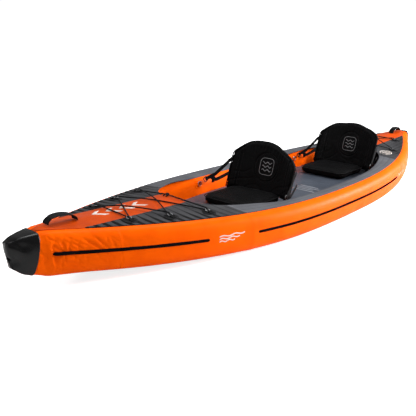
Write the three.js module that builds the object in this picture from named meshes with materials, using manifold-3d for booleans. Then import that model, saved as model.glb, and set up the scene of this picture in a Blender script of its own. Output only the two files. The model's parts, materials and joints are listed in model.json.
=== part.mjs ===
// A two-seat inflatable kayak, 4.12 m long: two drop-stitch side chambers that meet at the bow and the
// stern, a drop-stitch floor on a bottom panel, crowned decks with ribbed grip pads, moulded end caps,
// rubbing strips, webbing carry handles, elastic deck cords, two folding seats and three air valves.
// Units are millimetres. The origin is on the ground under the middle of the hull, with +X to the bow,
// +Y to port and +Z up.
import * as THREE from "three";
import { mergeVertices } from "three/addons/utils/BufferGeometryUtils.js";
import Module from "manifold-3d";

const wasm = await Module();
wasm.setup();

// ---- Driving dimensions ----
const HALF_LENGTH = 2060; // overall half length, over the end caps
const TIP_HALF_WIDTH = 41; // of the chambers where they end
const BEAM_SPREAD = 478; // what the half beam gains amidships
const PLAN_POWER = 2.6; // how full the waterline stays towards the ends
const PLAN_TAPER = 1.323; // how fine it gets there
const CHAMBER_HALF_WIDTH = 82; // a side chamber, across
const SECTION_POWER = 3; // squareness of a side chamber's section
const TOP_AMIDSHIPS = 194; // height of the chambers' tops
const SHEER_RISE = 100; // what the ends gain in height
const ROCKER = 88; // how far the bottom lifts at the ends
const FLAT_SHARE = 0.25; // share of the half length that lies flat on the ground
const NOSE_START = 0.93; // share of the half length where the nose starts to taper
const NOSE_DROP = 48; // how far the top falls there
const NOSE_LIFT = 34; // how far the bottom rises there
const GAP = 0.3; // between pieces that touch
const DECK_LIFT = 2; // of the decks above the chambers, which lets both bend in plain facets
const SKIN = 3; // thickness of decks, covers, caps and the bottom panel
const EDGE_INSET = 54; // from the widest line in to the edge of the deck
const PANEL_HALF_WIDTH = 98; // the plain middle panel of a deck
const CROWN_SHARE = 0.1; // crown of a deck, as a share of its half width
const COCKPIT_HALF_LENGTH = 1090;
const COCKPIT_HALF_WIDTH = 378;
const PAD_START = 930; // where the gunwale covers end and the grip pads start
const CAP_RIM = 1934; // where an end cap's rim crosses the deck
const CAP_RAKE = 0.18; // lean of that rim, towards the tip at the bottom
const FLOOR_THICKNESS = 90;
const SEAT_AXES = { front: 335, rear: -793 }; // where each backrest folds, along X
const SEAT_PITCH_FLOOR = 50; // height of the seat base's top above the floor

const ORANGE = { color: 0xf26a0c, roughness: 0.4, metalness: 0 };
const DECK_GREY = { color: 0x55565c, roughness: 0.75, metalness: 0 };
const FLOOR_GREY = { color: 0x3c4048, roughness: 0.7, metalness: 0 };
const CAP_BLACK = { color: 0x17181a, roughness: 0.45, metalness: 0 };
const WEBBING_BLACK = { color: 0x111113, roughness: 0.85, metalness: 0 };
const SEAT_BLACK = { color: 0x141416, roughness: 0.9, metalness: 0 };
const PLASTIC_BLACK = { color: 0x1c1c1e, roughness: 0.5, metalness: 0 };
const VALVE_GREY = { color: 0x8a8d92, roughness: 0.5, metalness: 0 };

const group = new THREE.Group();

function add(name, geometry, look) {
  const mesh = new THREE.Mesh(geometry, new THREE.MeshStandardMaterial(look));
  mesh.name = name;
  group.add(mesh);
  return mesh;
}

// ---- Hull lines: every size of the hull at a station x ----
const clamp = (v, low, high) => Math.min(high, Math.max(low, v));
const smooth = (v, from, to) => {
  const t = clamp((v - from) / (to - from), 0, 1);
  return t * t * (3 - 2 * t);
};
const share = (x) => Math.min(Math.abs(x) / HALF_LENGTH, 0.9999);
const fullness = (x) => Math.pow(1 - Math.pow(share(x), PLAN_POWER), PLAN_TAPER);
const noseShare = (x) => clamp((share(x) - NOSE_START) / (1 - NOSE_START), 0, 1);
// Under an end cap the hull is a little smaller, so that the cap lies flush.
const capSeat = (x) => 4 * smooth(Math.abs(x), CAP_RIM - 45, CAP_RIM - 5);
const halfBeam = (x) => TIP_HALF_WIDTH + BEAM_SPREAD * fullness(x) - capSeat(x);
const deckEdge = (x) => halfBeam(x) - EDGE_INSET - 12 * share(x) ** 2;
const rockerAt = (x) =>
  ROCKER * Math.pow(Math.max(0, (share(x) - FLAT_SHARE) / (1 - FLAT_SHARE)), 1.8);
const topAt = (x) =>
  TOP_AMIDSHIPS + SHEER_RISE * share(x) ** 2 - NOSE_DROP * Math.pow(noseShare(x), 1.3) - capSeat(x);
const bottomAt = (x) =>
  SKIN + GAP + rockerAt(x) + NOSE_LIFT * noseShare(x) + capSeat(x);
const chamberHalfWidth = (x) => Math.min(CHAMBER_HALF_WIDTH, (halfBeam(x) - GAP) / 2);
const chamberCentre = (x) => halfBeam(x) - chamberHalfWidth(x);
// The chambers press flat on each other at the ends, so their inner sides get square there.
const innerPower = (x) => SECTION_POWER + 9 * smooth(Math.abs(x), 1450, 1800);

// Height of a side chamber's upper surface at y, measured on the port side.
function chamberTop(x, y) {
  const outside = y > chamberCentre(x);
  const power = outside ? SECTION_POWER : innerPower(x);
  const u = clamp(Math.abs(y - chamberCentre(x)) / chamberHalfWidth(x), 0, 1);
  const half = (topAt(x) - bottomAt(x)) / 2;
  return topAt(x) - half + half * Math.pow(1 - Math.pow(u, power), 1 / power);
}

// Height of the surface that the deck, the pads and the gunwale covers lie on.
function deckBase(x, y) {
  const side = Math.abs(y);
  const inboard = chamberCentre(x);
  if (side >= inboard) return chamberTop(x, side);
  const ridge = Math.sqrt((side / inboard) ** 2 + 0.02) - 0.02;
  const crown = CROWN_SHARE * deckEdge(x) * Math.pow(clamp(1 - ridge, 0, 1), 1.2);
  const spanning = smooth(Math.abs(x), 450, 800);
  return (1 - spanning) * chamberTop(x, side) + spanning * (topAt(x) + crown);
}
const deckTop = (x, y) => deckBase(x, y) + DECK_LIFT + SKIN;

// Half width of the cockpit's opening at x.
function cockpitEdge(x) {
  const along = Math.min(1, Math.abs(x) / COCKPIT_HALF_LENGTH);
  return COCKPIT_HALF_WIDTH * Math.pow(1 - Math.pow(along, 3), 1 / 2.3);
}
const floorTop = (x) => bottomAt(x) + FLOOR_THICKNESS;

// ---- Mesh makers ----
function geometryFrom(points, faces) {
  const geometry = new THREE.BufferGeometry();
  geometry.setAttribute("position", new THREE.Float32BufferAttribute(points.flat(), 3));
  geometry.setIndex(faces);
  return geometry;
}

// A closed solid through rings of equal length. Rings run counter-clockwise seen from the last ring.
// poles, if given, are the two points that close the ends; otherwise a fan from the middle does.
function loft(rings, poles) {
  const n = rings[0].length;
  const points = rings.flat();
  const faces = [];
  for (let i = 0; i + 1 < rings.length; i++) {
    for (let j = 0; j < n; j++) {
      const a = i * n + j;
      const b = i * n + ((j + 1) % n);
      faces.push(a, b, b + n, a, b + n, a + n);
    }
  }
  const middle = (ring) => [0, 1, 2].map((k) => ring.reduce((sum, p) => sum + p[k], 0) / n);
  const [start, end] = poles ?? [middle(rings[0]), middle(rings.at(-1))];
  const last = (rings.length - 1) * n;
  points.push(start, end);
  for (let j = 0; j < n; j++) {
    const next = (j + 1) % n;
    faces.push(points.length - 2, next, j);
    faces.push(points.length - 1, last + j, last + next);
  }
  return geometryFrom(points, faces);
}

// A thin closed sheet over xs by `across` strips, from yFrom(x) to yTo(x), between two heights.
function sheet(xs, across, yFrom, yTo, low, high) {
  const rows = across + 1;
  const points = [];
  for (const x of xs) {
    for (const height of [low, high]) {
      for (let j = 0; j < rows; j++) {
        const y = THREE.MathUtils.lerp(yFrom(x), yTo(x), j / across);
        points.push([x, y, height(x, y)]);
      }
    }
  }
  const at = (i, j, isTop) => (2 * i + (isTop ? 1 : 0)) * rows + j;
  const faces = [];
  const quad = (a, b, c, d) => faces.push(a, b, c, a, c, d);
  const end = xs.length - 1;
  for (let i = 0; i < end; i++) {
    for (let j = 0; j < across; j++) {
      quad(at(i, j, true), at(i + 1, j, true), at(i + 1, j + 1, true), at(i, j + 1, true));
      quad(at(i, j, false), at(i, j + 1, false), at(i + 1, j + 1, false), at(i + 1, j, false));
    }
    quad(at(i, 0, false), at(i + 1, 0, false), at(i + 1, 0, true), at(i, 0, true));
    quad(at(i, across, true), at(i + 1, across, true), at(i + 1, across, false), at(i, across, false));
  }
  for (let j = 0; j < across; j++) {
    quad(at(0, j, false), at(0, j, true), at(0, j + 1, true), at(0, j + 1, false));
    quad(at(end, j, false), at(end, j + 1, false), at(end, j + 1, true), at(end, j, true));
  }
  return geometryFrom(points, faces);
}

// A round bar of `sides` sides that follows points, with no twist.
function bar(points, radius, sides = 8) {
  const path = points.map((p) => new THREE.Vector3(...p));
  const tangent = (i) =>
    path[Math.min(i + 1, path.length - 1)].clone().sub(path[Math.max(i - 1, 0)]).normalize();
  const normal = new THREE.Vector3(0, 0, 1);
  const rings = path.map((p, i) => {
    const along = tangent(i);
    normal.addScaledVector(along, -normal.dot(along)).normalize();
    const side = new THREE.Vector3().crossVectors(along, normal);
    return Array.from({ length: sides }, (_, k) => {
      const turn = (2 * Math.PI * k) / sides;
      return p
        .clone()
        .addScaledVector(normal, radius * Math.cos(turn))
        .addScaledVector(side, radius * Math.sin(turn))
        .toArray();
    });
  });
  return loft(rings);
}

// Joins closed geometries into one solid, or cuts the second and later ones out of the first.
function solidOf(geometry) {
  const bare = geometry.clone();
  bare.deleteAttribute("normal");
  bare.deleteAttribute("uv");
  const merged = mergeVertices(bare, 1e-3);
  return new wasm.Manifold(
    new wasm.Mesh({
      numProp: 3,
      vertProperties: merged.attributes.position.array,
      triVerts: new Uint32Array(merged.index.array),
    }),
  );
}
function combined(how, first, ...others) {
  let solid = solidOf(first);
  for (const other of others) solid = solid[how](solidOf(other));
  const made = solid.getMesh();
  const geometry = new THREE.BufferGeometry();
  geometry.setAttribute("position", new THREE.BufferAttribute(new Float32Array(made.vertProperties), 3));
  geometry.setIndex(new THREE.BufferAttribute(new Uint32Array(made.triVerts), 1));
  return geometry;
}
const mirrored = (points) => points.map(([x, y, z]) => [x, -y, z]);
const steps = (from, to, count) =>
  Array.from({ length: count + 1 }, (_, i) => from + ((to - from) * i) / count);
const SIDES = { port: 1, starboard: -1 };
const ENDS = { bow: 1, stern: -1 };

// ---- Side chambers ----
const CHAMBER_TIP = HALF_LENGTH - SKIN - 3.5;
const ROUNDING = 75; // how far from the tip the corners round off

// How far the section draws in near the tip, so that the nose ends in rounded corners.
const tipInset = (x, tip) => {
  const past = clamp((Math.abs(x) - (tip - ROUNDING)) / ROUNDING, 0, 1);
  return 30 * (1 - Math.sqrt(1 - past * past));
};

function chamberRing(x, count) {
  const inset = tipInset(x, CHAMBER_TIP);
  const wide = chamberHalfWidth(x) - inset / 2;
  const centre = chamberCentre(x) - inset / 2;
  const half = (topAt(x) - bottomAt(x)) / 2 - inset;
  const middle = (topAt(x) + bottomAt(x)) / 2;
  return Array.from({ length: count }, (_, k) => {
    const turn = (2 * Math.PI * (k + 0.5)) / count;
    const c = Math.cos(turn);
    const s = Math.sin(turn);
    const power = 2 / (c > 0 ? SECTION_POWER : innerPower(x));
    const y = centre + wide * Math.sign(c) * Math.abs(c) ** power;
    return [x, y, middle + half * Math.sign(s) * Math.abs(s) ** power];
  });
}

const hullStations = (() => {
  const aft = [...steps(0, 1700, 11), 1800, 1860, 1895, 1925, 1960, 1990];
  const tip = [0.35, 0.6, 0.8, 0.95].map((t) => CHAMBER_TIP - ROUNDING * (1 - t));
  const half = [...aft, ...tip, CHAMBER_TIP - 0.4];
  return [...half.slice(1).reverse().map((x) => -x), ...half];
})();

for (const [side, sign] of Object.entries(SIDES)) {
  const rings = hullStations.map((x) => chamberRing(x, 20));
  const turned = sign > 0 ? rings : rings.map((ring) => mirrored(ring).reverse());
  add(`${side}_side_chamber`, loft(turned), ORANGE);
}

// ---- Floor chamber and bottom panel ----
const FLOOR_HALF_LENGTH = 1540;
const floorHalfWidth = (x) => halfBeam(x) - 2 * chamberHalfWidth(x) - 1;
const floorRings = steps(-FLOOR_HALF_LENGTH, FLOOR_HALF_LENGTH, 20).map((x) => {
  const radius = FLOOR_THICKNESS / 2 - GAP;
  const middle = bottomAt(x) + FLOOR_THICKNESS / 2;
  const flat = floorHalfWidth(x) - radius;
  return [1, -1].flatMap((sign) =>
    steps(-90, 90, 6).map((degrees) => {
      const turn = THREE.MathUtils.degToRad(degrees);
      const y = sign * (flat + radius * Math.cos(turn));
      return [x, y, middle + sign * radius * Math.sin(turn)];
    }),
  );
});
add("floor_chamber", loft(floorRings), FLOOR_GREY);

const panelStations = [-1850, ...steps(-1700, 1700, 22), 1850];
add(
  "bottom_panel",
  sheet(
    panelStations,
    2,
    (x) => -chamberCentre(x),
    chamberCentre,
    (x) => bottomAt(x) - GAP - SKIN,
    (x) => bottomAt(x) - GAP,
  ),
  FLOOR_GREY,
);

// ---- Decks, grip pads and gunwale covers ----
const PAD_TIP = 1745; // where a grip pad ends in a point on the deck's edge
const SEAM = GAP; // between neighbouring deck pieces
const low = (x, y) => deckBase(x, y) + DECK_LIFT;
for (const [end, sign] of Object.entries(ENDS)) {
  const along = (xs) => (sign > 0 ? xs : xs.map((x) => -x).reverse());
  const panelHalf = (x) => Math.min(PANEL_HALF_WIDTH, deckEdge(x));
  const panelXs = along([...steps(COCKPIT_HALF_LENGTH, PAD_TIP, 8), 1800, 1860, CAP_RIM - 6]);
  add(
    `${end}_deck_panel`,
    sheet(panelXs, 8, (x) => -panelHalf(x), panelHalf, low, deckTop),
    ORANGE,
  );
  for (const [side, hand] of Object.entries(SIDES)) {
    const inner = (x) => Math.max(PANEL_HALF_WIDTH + SEAM, cockpitEdge(x));
    const outer = (x) => Math.max(deckEdge(x), inner(x) + 1);
    const padXs = along([...steps(PAD_START + SEAM, COCKPIT_HALF_LENGTH, 4), ...steps(1150, 1730, 8)]);
    const [from, to] = hand > 0 ? [inner, outer] : [(x) => -outer(x), (x) => -inner(x)];
    add(`${end}_grip_pad_${side}`, sheet(padXs, 4, from, to, low, deckTop), DECK_GREY);
  }
}
for (const [side, hand] of Object.entries(SIDES)) {
  const [from, to] =
    hand > 0 ? [cockpitEdge, deckEdge] : [(x) => -deckEdge(x), (x) => -cockpitEdge(x)];
  const xs = steps(-PAD_START, PAD_START, 20);
  add(`gunwale_cover_${side}`, sheet(xs, 4, from, to, low, deckTop), DECK_GREY);
}

// ---- End caps ----
// The caps are cups: an outer skin from the tip back to the raked rim, and an inner skin forward again.
// offset is how far the skin lies outside the chambers.
function capRing(along, offset) {
  const tip = HALF_LENGTH - CAP_SKIN_OUT + offset;
  const pointAt = (x, hand, turn) => {
    const inset = tipInset(x, tip);
    const wide = chamberHalfWidth(x) + offset - inset;
    const half = (topAt(x) - bottomAt(x)) / 2 + offset - inset;
    const middle = (topAt(x) + bottomAt(x)) / 2;
    const y = chamberCentre(x) + wide * Math.cos(turn) ** (2 / SECTION_POWER);
    const z = middle + half * Math.sign(turn) * Math.abs(Math.sin(turn)) ** (2 / SECTION_POWER);
    return [x, hand * y, z];
  };
  return [1, -1].flatMap((hand) =>
    CAP_ANGLES.map((degrees) => {
      const turn = THREE.MathUtils.degToRad(hand * degrees);
      const level = CAP_RIM + (tip - CAP_RIM) * along;
      const [, , z] = pointAt(level, hand, turn);
      const rake = CAP_RAKE * (topAt(CAP_RIM) - z) * (1 - along) ** 2;
      return pointAt(level + rake, hand, turn);
    }),
  );
}
const CAP_ANGLES = [-89.9, -81, -63, -45, -27, -9, 9, 27, 45, 63, 81, 89.9];
const CAP_CLEARANCE = 1; // between the chambers and a cap
const CAP_SKIN_OUT = CAP_CLEARANCE + SKIN;
const CAP_SHARES = [0, 0.25, 0.5, 0.68, 0.8, 0.9, 0.97];
const outerSkin = CAP_SHARES.map((t) => capRing(t, CAP_SKIN_OUT));
const innerSkin = CAP_SHARES.map((t) => capRing(t, CAP_CLEARANCE));
const capHeight = (topAt(HALF_LENGTH) + bottomAt(HALF_LENGTH)) / 2;
for (const [end, sign] of Object.entries(ENDS)) {
  const rings = [...outerSkin.toReversed(), ...innerSkin];
  const place = (p) => [sign * p[0], p[1], p[2]];
  const turned = rings.map((ring) => (sign > 0 ? ring.toReversed() : ring).map(place));
  const poles = [HALF_LENGTH, HALF_LENGTH - SKIN - GAP].map((x) => place([x, 0, capHeight]));
  add(`${end}_cap`, loft(turned, poles), CAP_BLACK);
}

// ---- Rubbing strips along the sides ----
const STRIP_HALF_WIDTH = 6;
const STRIP_DEPTH = 4;
const STRIP_RUNS = { fore: [1202, 1898], aft: [-800, 911] };
const stripHeight = (x) => (topAt(x) + bottomAt(x)) / 2 + 11;
for (const [run, [from, to]] of Object.entries(STRIP_RUNS)) {
  for (const [side, hand] of Object.entries(SIDES)) {
    const rings = steps(from, to, run === "fore" ? 8 : 14).map((x) => {
      const face = halfBeam(x) + GAP + 0.5;
      return steps(-90, 90, 4).map((degrees) => {
        const turn = THREE.MathUtils.degToRad(degrees);
        const y = face + STRIP_DEPTH * Math.cos(turn);
        return [x, hand * y, stripHeight(x) + STRIP_HALF_WIDTH * Math.sin(turn)];
      });
    });
    add(`${run}_rub_strip_${side}`, loft(hand > 0 ? rings : rings.map((r) => r.reverse())), CAP_BLACK);
  }
}

// ---- Carry handles: a webbing arch with a padded sleeve on its top ----
const HANDLE = { middle: 1779, halfSpan: 65, rise: 38, strapHalfWidth: 19, strap: 3, clear: 3 };
const SLEEVE = { halfWidth: 22, thickness: 11, reach: 50 }; // reach is in degrees each side of the top
function archRings(end, fromDegrees, toDegrees, count, outerLift, innerLift, halfWidth) {
  return steps(fromDegrees, toDegrees, count).map((degrees) => {
    const turn = THREE.MathUtils.degToRad(degrees);
    const at = (lift) => {
      const x = HANDLE.middle - (HANDLE.halfSpan + lift) * Math.cos(turn);
      const foot = deckTop(HANDLE.middle, 0) + HANDLE.clear;
      const slope = 0.085 * (x - HANDLE.middle);
      return [ENDS[end] * x, foot + slope + (HANDLE.rise + lift) * Math.sin(turn) - HANDLE.clear / 2];
    };
    const [outX, outZ] = at(outerLift);
    const [inX, inZ] = at(innerLift);
    const ring = [
      [inX, -halfWidth, inZ],
      [inX, halfWidth, inZ],
      [outX, halfWidth, outZ],
      [outX, -halfWidth, outZ],
    ];
    return ENDS[end] > 0 ? ring : ring.reverse();
  });
}
for (const end of Object.keys(ENDS)) {
  const strap = archRings(end, 8, 172, 14, HANDLE.strap / 2, -HANDLE.strap / 2, HANDLE.strapHalfWidth);
  const edges = [90 - SLEEVE.reach, 90 + SLEEVE.reach];
  const half = SLEEVE.thickness / 2;
  const sleeve = archRings(end, ...edges, 8, half, -half, SLEEVE.halfWidth);
  const hollow = HANDLE.strap / 2 + GAP;
  const inside = archRings(end, edges[0] - 3, edges[1] + 3, 10, hollow, -hollow, HANDLE.strapHalfWidth + GAP);
  add(`${end}_handle_strap`, loft(strap), WEBBING_BLACK);
  add(`${end}_handle_grip`, combined("subtract", loft(sleeve), loft(inside)), WEBBING_BLACK);
}

// ---- Deck cord anchors: a round patch, a webbing tab and a wire ring that lies inboard ----
const ANCHOR = { patch: 37, tab: 14, ring: 12, wire: 2 };
const ANCHOR_PLACES = {
  bow: [[1506, 139], [1309, 211], [1100, 270]],
  stern: [[-1497, 135], [-1168, 258]],
};
// A frame on the deck at a place: its up is the deck's normal and its -Y points inboard.
function onDeck(x, y) {
  const hand = Math.sign(y);
  const d = ANCHOR.patch;
  const slopeX = (deckTop(x + d, y) - deckTop(x - d, y)) / (2 * d);
  const slopeY = (deckTop(x, y + d) - deckTop(x, y - d)) / (2 * d);
  const up = new THREE.Vector3(-slopeX, -slopeY, 1).normalize();
  const outboard = new THREE.Vector3(0, hand, hand * slopeY).normalize();
  const rim = steps(0, 330, 11).map((degrees) => {
    const turn = THREE.MathUtils.degToRad(degrees);
    const [u, v] = [d * Math.cos(turn), d * Math.sin(turn)];
    return deckTop(x + u, y + v) - slopeX * u - slopeY * v;
  });
  const along = new THREE.Vector3().crossVectors(outboard, up).normalize();
  return new THREE.Matrix4()
    .makeBasis(along, outboard, up)
    .setPosition(x, y, Math.max(...rim) + GAP);
}
const RING_TILT = 0.3; // radians that the wire ring rises inboard
const RING_CENTRE = { y: -10, z: 9 };
function anchorGeometry() {
  const patch = new THREE.CylinderGeometry(ANCHOR.patch, ANCHOR.patch, 2.4, 20);
  patch.rotateX(Math.PI / 2).translate(0, 0, 1.6);
  const tab = new THREE.BoxGeometry(2 * ANCHOR.tab, 20, 8);
  tab.translate(0, 5, 5.4);
  const ring = new THREE.TorusGeometry(ANCHOR.ring, ANCHOR.wire, 6, 16);
  ring.rotateX(-RING_TILT).translate(0, RING_CENTRE.y, RING_CENTRE.z);
  return combined("add", patch, tab, ring);
}
for (const [end, places] of Object.entries(ANCHOR_PLACES)) {
  for (const [side, hand] of Object.entries(SIDES)) {
    places.forEach(([x, y], i) => {
      const placed = anchorGeometry().applyMatrix4(onDeck(x, hand * y));
      add(`${end}_cord_anchor_${side}_${i + 1}`, placed, WEBBING_BLACK);
    });
  }
}

// ---- Deck cords, laced through the anchors' rings and over the crown of the deck ----
const CORD_RADIUS = 3.5;
// The turn through a ring, from the leg above it to the leg below, in the anchor's frame.
function ringTurn(place, before, after) {
  const [x, y] = place;
  const frame = onDeck(x, y);
  const local = (p) => new THREE.Vector3(...p).applyMatrix4(frame.clone().invert());
  const bend = ANCHOR.wire + CORD_RADIUS + 0.6;
  const wireY = RING_CENTRE.y - ANCHOR.ring * Math.cos(RING_TILT);
  const wireZ = RING_CENTRE.z + ANCHOR.ring * Math.sin(RING_TILT);
  const leg = (other) => clamp(local(other).x / Math.abs(local(other).y), -1, 1) * 16;
  const points = [[leg(before), wireY - 16, wireZ + bend - 1]];
  for (const degrees of [90, 45, 0, -45, -90]) {
    const turn = THREE.MathUtils.degToRad(degrees);
    const drift = (degrees / 90) * (leg(before) - leg(after)) * 0.15;
    points.push([drift, wireY + bend * Math.cos(turn), wireZ + bend * Math.sin(turn)]);
  }
  points.push([leg(after), wireY - 16, wireZ - bend + 2]);
  return points.map((p) => new THREE.Vector3(...p).applyMatrix4(frame).toArray());
}
// Where a leg crosses the middle of the deck, it lies on it, over or under the leg that it crosses.
function overCrown(from, to, layer) {
  const t = from[1] / (from[1] - to[1]);
  const x = from[0] + (to[0] - from[0]) * t;
  return [x, 0, deckTop(x, 0) + CORD_RADIUS + 1 + layer * (2 * CORD_RADIUS + 1)];
}
// places are visited in order; layers say how each leg crosses the middle.
function lacing(places, layers, start, end) {
  const points = [start];
  places.forEach((place, i) => {
    const before = places[i - 1] ?? start;
    const after = places[i + 1] ?? end;
    if (i > 0) points.push(overCrown(before, place, layers[i - 1]));
    points.push(...ringTurn(place, [before[0], before[1], 0], [after[0], after[1], 0]));
  });
  points.push(end);
  return points;
}
const port = (end, i) => ANCHOR_PLACES[end][i];
const starboard = (end, i) => [ANCHOR_PLACES[end][i][0], -ANCHOR_PLACES[end][i][1]];
const KNOT_RADIUS = 8;
function knotPlace(end, x, y) {
  return [x, y, deckTop(x, y) + KNOT_RADIUS + GAP + 0.5];
}
const CORD_RUNS = {
  bow: {
    knot: knotPlace("bow", 1100, -26),
    places: [port("bow", 2), starboard("bow", 1), port("bow", 0)].concat([
      starboard("bow", 0), port("bow", 1), starboard("bow", 2),
    ]),
    layers: [0, 0, 0, 1, 1],
  },
  stern: {
    knot: knotPlace("stern", -1168, 24),
    places: [starboard("stern", 1), port("stern", 0), starboard("stern", 0), port("stern", 1)],
    layers: [0, 0, 1],
  },
};
for (const [end, { knot, places, layers }] of Object.entries(CORD_RUNS)) {
  const towards = Math.sign(places[0][1] - knot[1]);
  const beside = (sign) => [knot[0], knot[1] + sign * (KNOT_RADIUS + GAP + 0.6), knot[2]];
  const route = lacing(places, layers, beside(towards), beside(-towards));
  add(`${end}_cord`, bar(route, CORD_RADIUS), WEBBING_BLACK);
  const ball = new THREE.SphereGeometry(KNOT_RADIUS, 10, 6);
  add(`${end}_cord_knot`, ball, WEBBING_BLACK).position.set(...knot);
}

// A frame on a side chamber's inner wall at x and height z: its Z points into the cockpit.
function onWall(x, z, hand, lift) {
  const wall = (atX, atZ) => {
    const middle = (topAt(atX) + bottomAt(atX)) / 2;
    const v = Math.abs(atZ - middle) / ((topAt(atX) - bottomAt(atX)) / 2);
    return chamberCentre(atX) - chamberHalfWidth(atX) * Math.pow(1 - v ** 3, 1 / 3);
  };
  const d = 5;
  const slopeX = (wall(x + d, z) - wall(x - d, z)) / (2 * d);
  const slopeZ = (wall(x, z + d) - wall(x, z - d)) / (2 * d);
  const inward = new THREE.Vector3(slopeX, -hand, slopeZ).normalize();
  const along = new THREE.Vector3(1, 0, 0).addScaledVector(inward, -inward.x).normalize();
  return new THREE.Matrix4()
    .makeBasis(along, new THREE.Vector3().crossVectors(inward, along), inward)
    .setPosition(x, hand * wall(x, z), z)
    .multiply(new THREE.Matrix4().makeTranslation(0, 0, lift));
}

// ---- Seats ----
const SEAT = {
  baseHalfWidth: 185, baseReach: 320, baseBehind: 60, corner: 55,
  backHalfWidth: 250, topCentre: 350, topWing: 232, bottomCentre: 46, bottomWing: 12,
  wrap: 72, lean: 0.3, thickness: 26, pocket: 34,
};
// The floor under a seat base, at the base's higher end.
const seatFloor = (axis) => Math.max(floorTop(axis - SEAT.baseBehind), floorTop(axis + SEAT.baseReach)) + 0.6;
function seatBaseRings(axis) {
  const back = axis - SEAT.baseBehind;
  const front = axis + SEAT.baseReach;
  const bottom = seatFloor(axis);
  const shares = [0.03, 0.15, 0.4, 0.7, 1];
  const rearXs = shares.map((t) => back + SEAT.corner * t);
  const frontXs = shares.toReversed().map((t) => front - SEAT.corner * t);
  return [...rearXs, ...frontXs].map((x) => {
    const near = Math.min(x - back, front - x, SEAT.corner) / SEAT.corner;
    const round = Math.sqrt(1 - (1 - near) ** 2);
    const wide = SEAT.baseHalfWidth - SEAT.corner * (1 - round);
    const half = (SEAT_PITCH_FLOOR / 2) * (0.72 + 0.28 * round);
    return Array.from({ length: 20 }, (_, k) => {
      const turn = (2 * Math.PI * (k + 0.5)) / 20;
      const c = Math.cos(turn);
      const s = Math.sin(turn);
      const y = wide * Math.sign(c) * Math.abs(c) ** 0.35;
      return [x, y, bottom + SEAT_PITCH_FLOOR / 2 + half * Math.sign(s) * Math.abs(s) ** 0.35];
    });
  });
}
// Rings run across the backrest, each one round its upright section.
function seatBackRings(axis) {
  const floor = seatFloor(axis);
  return [-1, -0.97, -0.87, -0.76, -0.4, -0.15, 0.15, 0.4, 0.76, 0.87, 0.97, 1].map((u) => {
    const side = Math.abs(u);
    const edge = side === 1 ? 22 : side === 0.97 ? 8 : 0;
    const wing = smooth(side, 0.76, 0.87);
    const bottom = floor + SEAT.bottomCentre + 6 + (SEAT.bottomWing - SEAT.bottomCentre) * wing + edge;
    const top = floor + SEAT.topCentre + (SEAT.topWing - SEAT.topCentre) * side ** 2.1 - edge;
    const front = (z) => axis - 50 + SEAT.wrap * side ** 2 - SEAT.lean * (z - floor - SEAT.bottomCentre);
    const depth = (t) => {
      const rim = edge === 22 ? 0.45 : 1;
      const bulge = SEAT.pocket * (1 - side ** 2) * Math.sin(Math.PI * clamp(t * 1.25, 0, 1));
      return (SEAT.thickness - 8 * Math.abs(2 * t - 1) ** 3) * rim + bulge;
    };
    const up = steps(0, 1, 7);
    const faceOf = (t, back) => {
      const z = bottom + (top - bottom) * t;
      return [front(z) - (back ? depth(t) : 0), u * SEAT.backHalfWidth, z];
    };
    return [...up.map((t) => faceOf(t, true)), ...up.toReversed().map((t) => faceOf(t, false))];
  });
}
// A side strap runs from the backrest's wing down to a ring on the side chamber's inner wall.
const STRAP = { ringAhead: 168, ringAbove: 56, halfWidth: 12, thickness: 4, hook: 34 };
function seatStrapEnds(axis, hand) {
  const floor = seatFloor(axis);
  const frame = onWall(axis + STRAP.ringAhead, floor + STRAP.ringAbove, hand, 1);
  const ring = new THREE.Vector3(4, 0, 16).applyMatrix4(frame);
  const wing = new THREE.Vector3(axis - 42, hand * (SEAT.backHalfWidth + 9), floor + 205);
  return { ring, wing, frame };
}
// A box laid from one point to another, flat side outboard.
function bandBetween(from, to, width, thickness) {
  const along = to.clone().sub(from);
  const box = new THREE.BoxGeometry(along.length(), thickness, width);
  const axisX = along.clone().normalize();
  const axisZ = new THREE.Vector3(0, 0, 1).addScaledVector(axisX, -axisX.z).normalize();
  const axisY = new THREE.Vector3().crossVectors(axisZ, axisX);
  const middle = from.clone().add(to).multiplyScalar(0.5);
  return box.applyMatrix4(new THREE.Matrix4().makeBasis(axisX, axisY, axisZ).setPosition(middle));
}
for (const [seat, axis] of Object.entries(SEAT_AXES)) {
  add(`${seat}_seat_base`, loft(seatBaseRings(axis)), SEAT_BLACK);
  add(`${seat}_seat_back`, loft(seatBackRings(axis)), SEAT_BLACK);
  for (const [side, hand] of Object.entries(SIDES)) {
    const { ring, wing, frame } = seatStrapEnds(axis, hand);
    const along = wing.clone().sub(ring).normalize();
    const hookStart = ring.clone().addScaledVector(along, 22);
    const hookEnd = ring.clone().addScaledVector(along, 22 + STRAP.hook);
    const strapStart = hookEnd.clone().addScaledVector(along, 1);
    const strap = bandBetween(strapStart, wing, 2 * STRAP.halfWidth, STRAP.thickness);
    const hook = bandBetween(hookStart, hookEnd, 2 * STRAP.halfWidth + 6, 8);
    add(`${seat}_seat_strap_${side}`, strap, WEBBING_BLACK);
    add(`${seat}_strap_hook_${side}`, hook, PLASTIC_BLACK);
    const patch = new THREE.BoxGeometry(64, 52, 2.4).translate(0, 0, 1.6);
    const tab = new THREE.BoxGeometry(12, 26, 12).translate(0, 0, 8);
    const wire = new THREE.TorusGeometry(15, 2.2, 6, 16).translate(0, 0, 12);
    const placed = combined("add", patch, tab, wire).applyMatrix4(frame);
    add(`${seat}_seat_ring_${side}`, placed, VALVE_GREY);
  }
}

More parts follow.
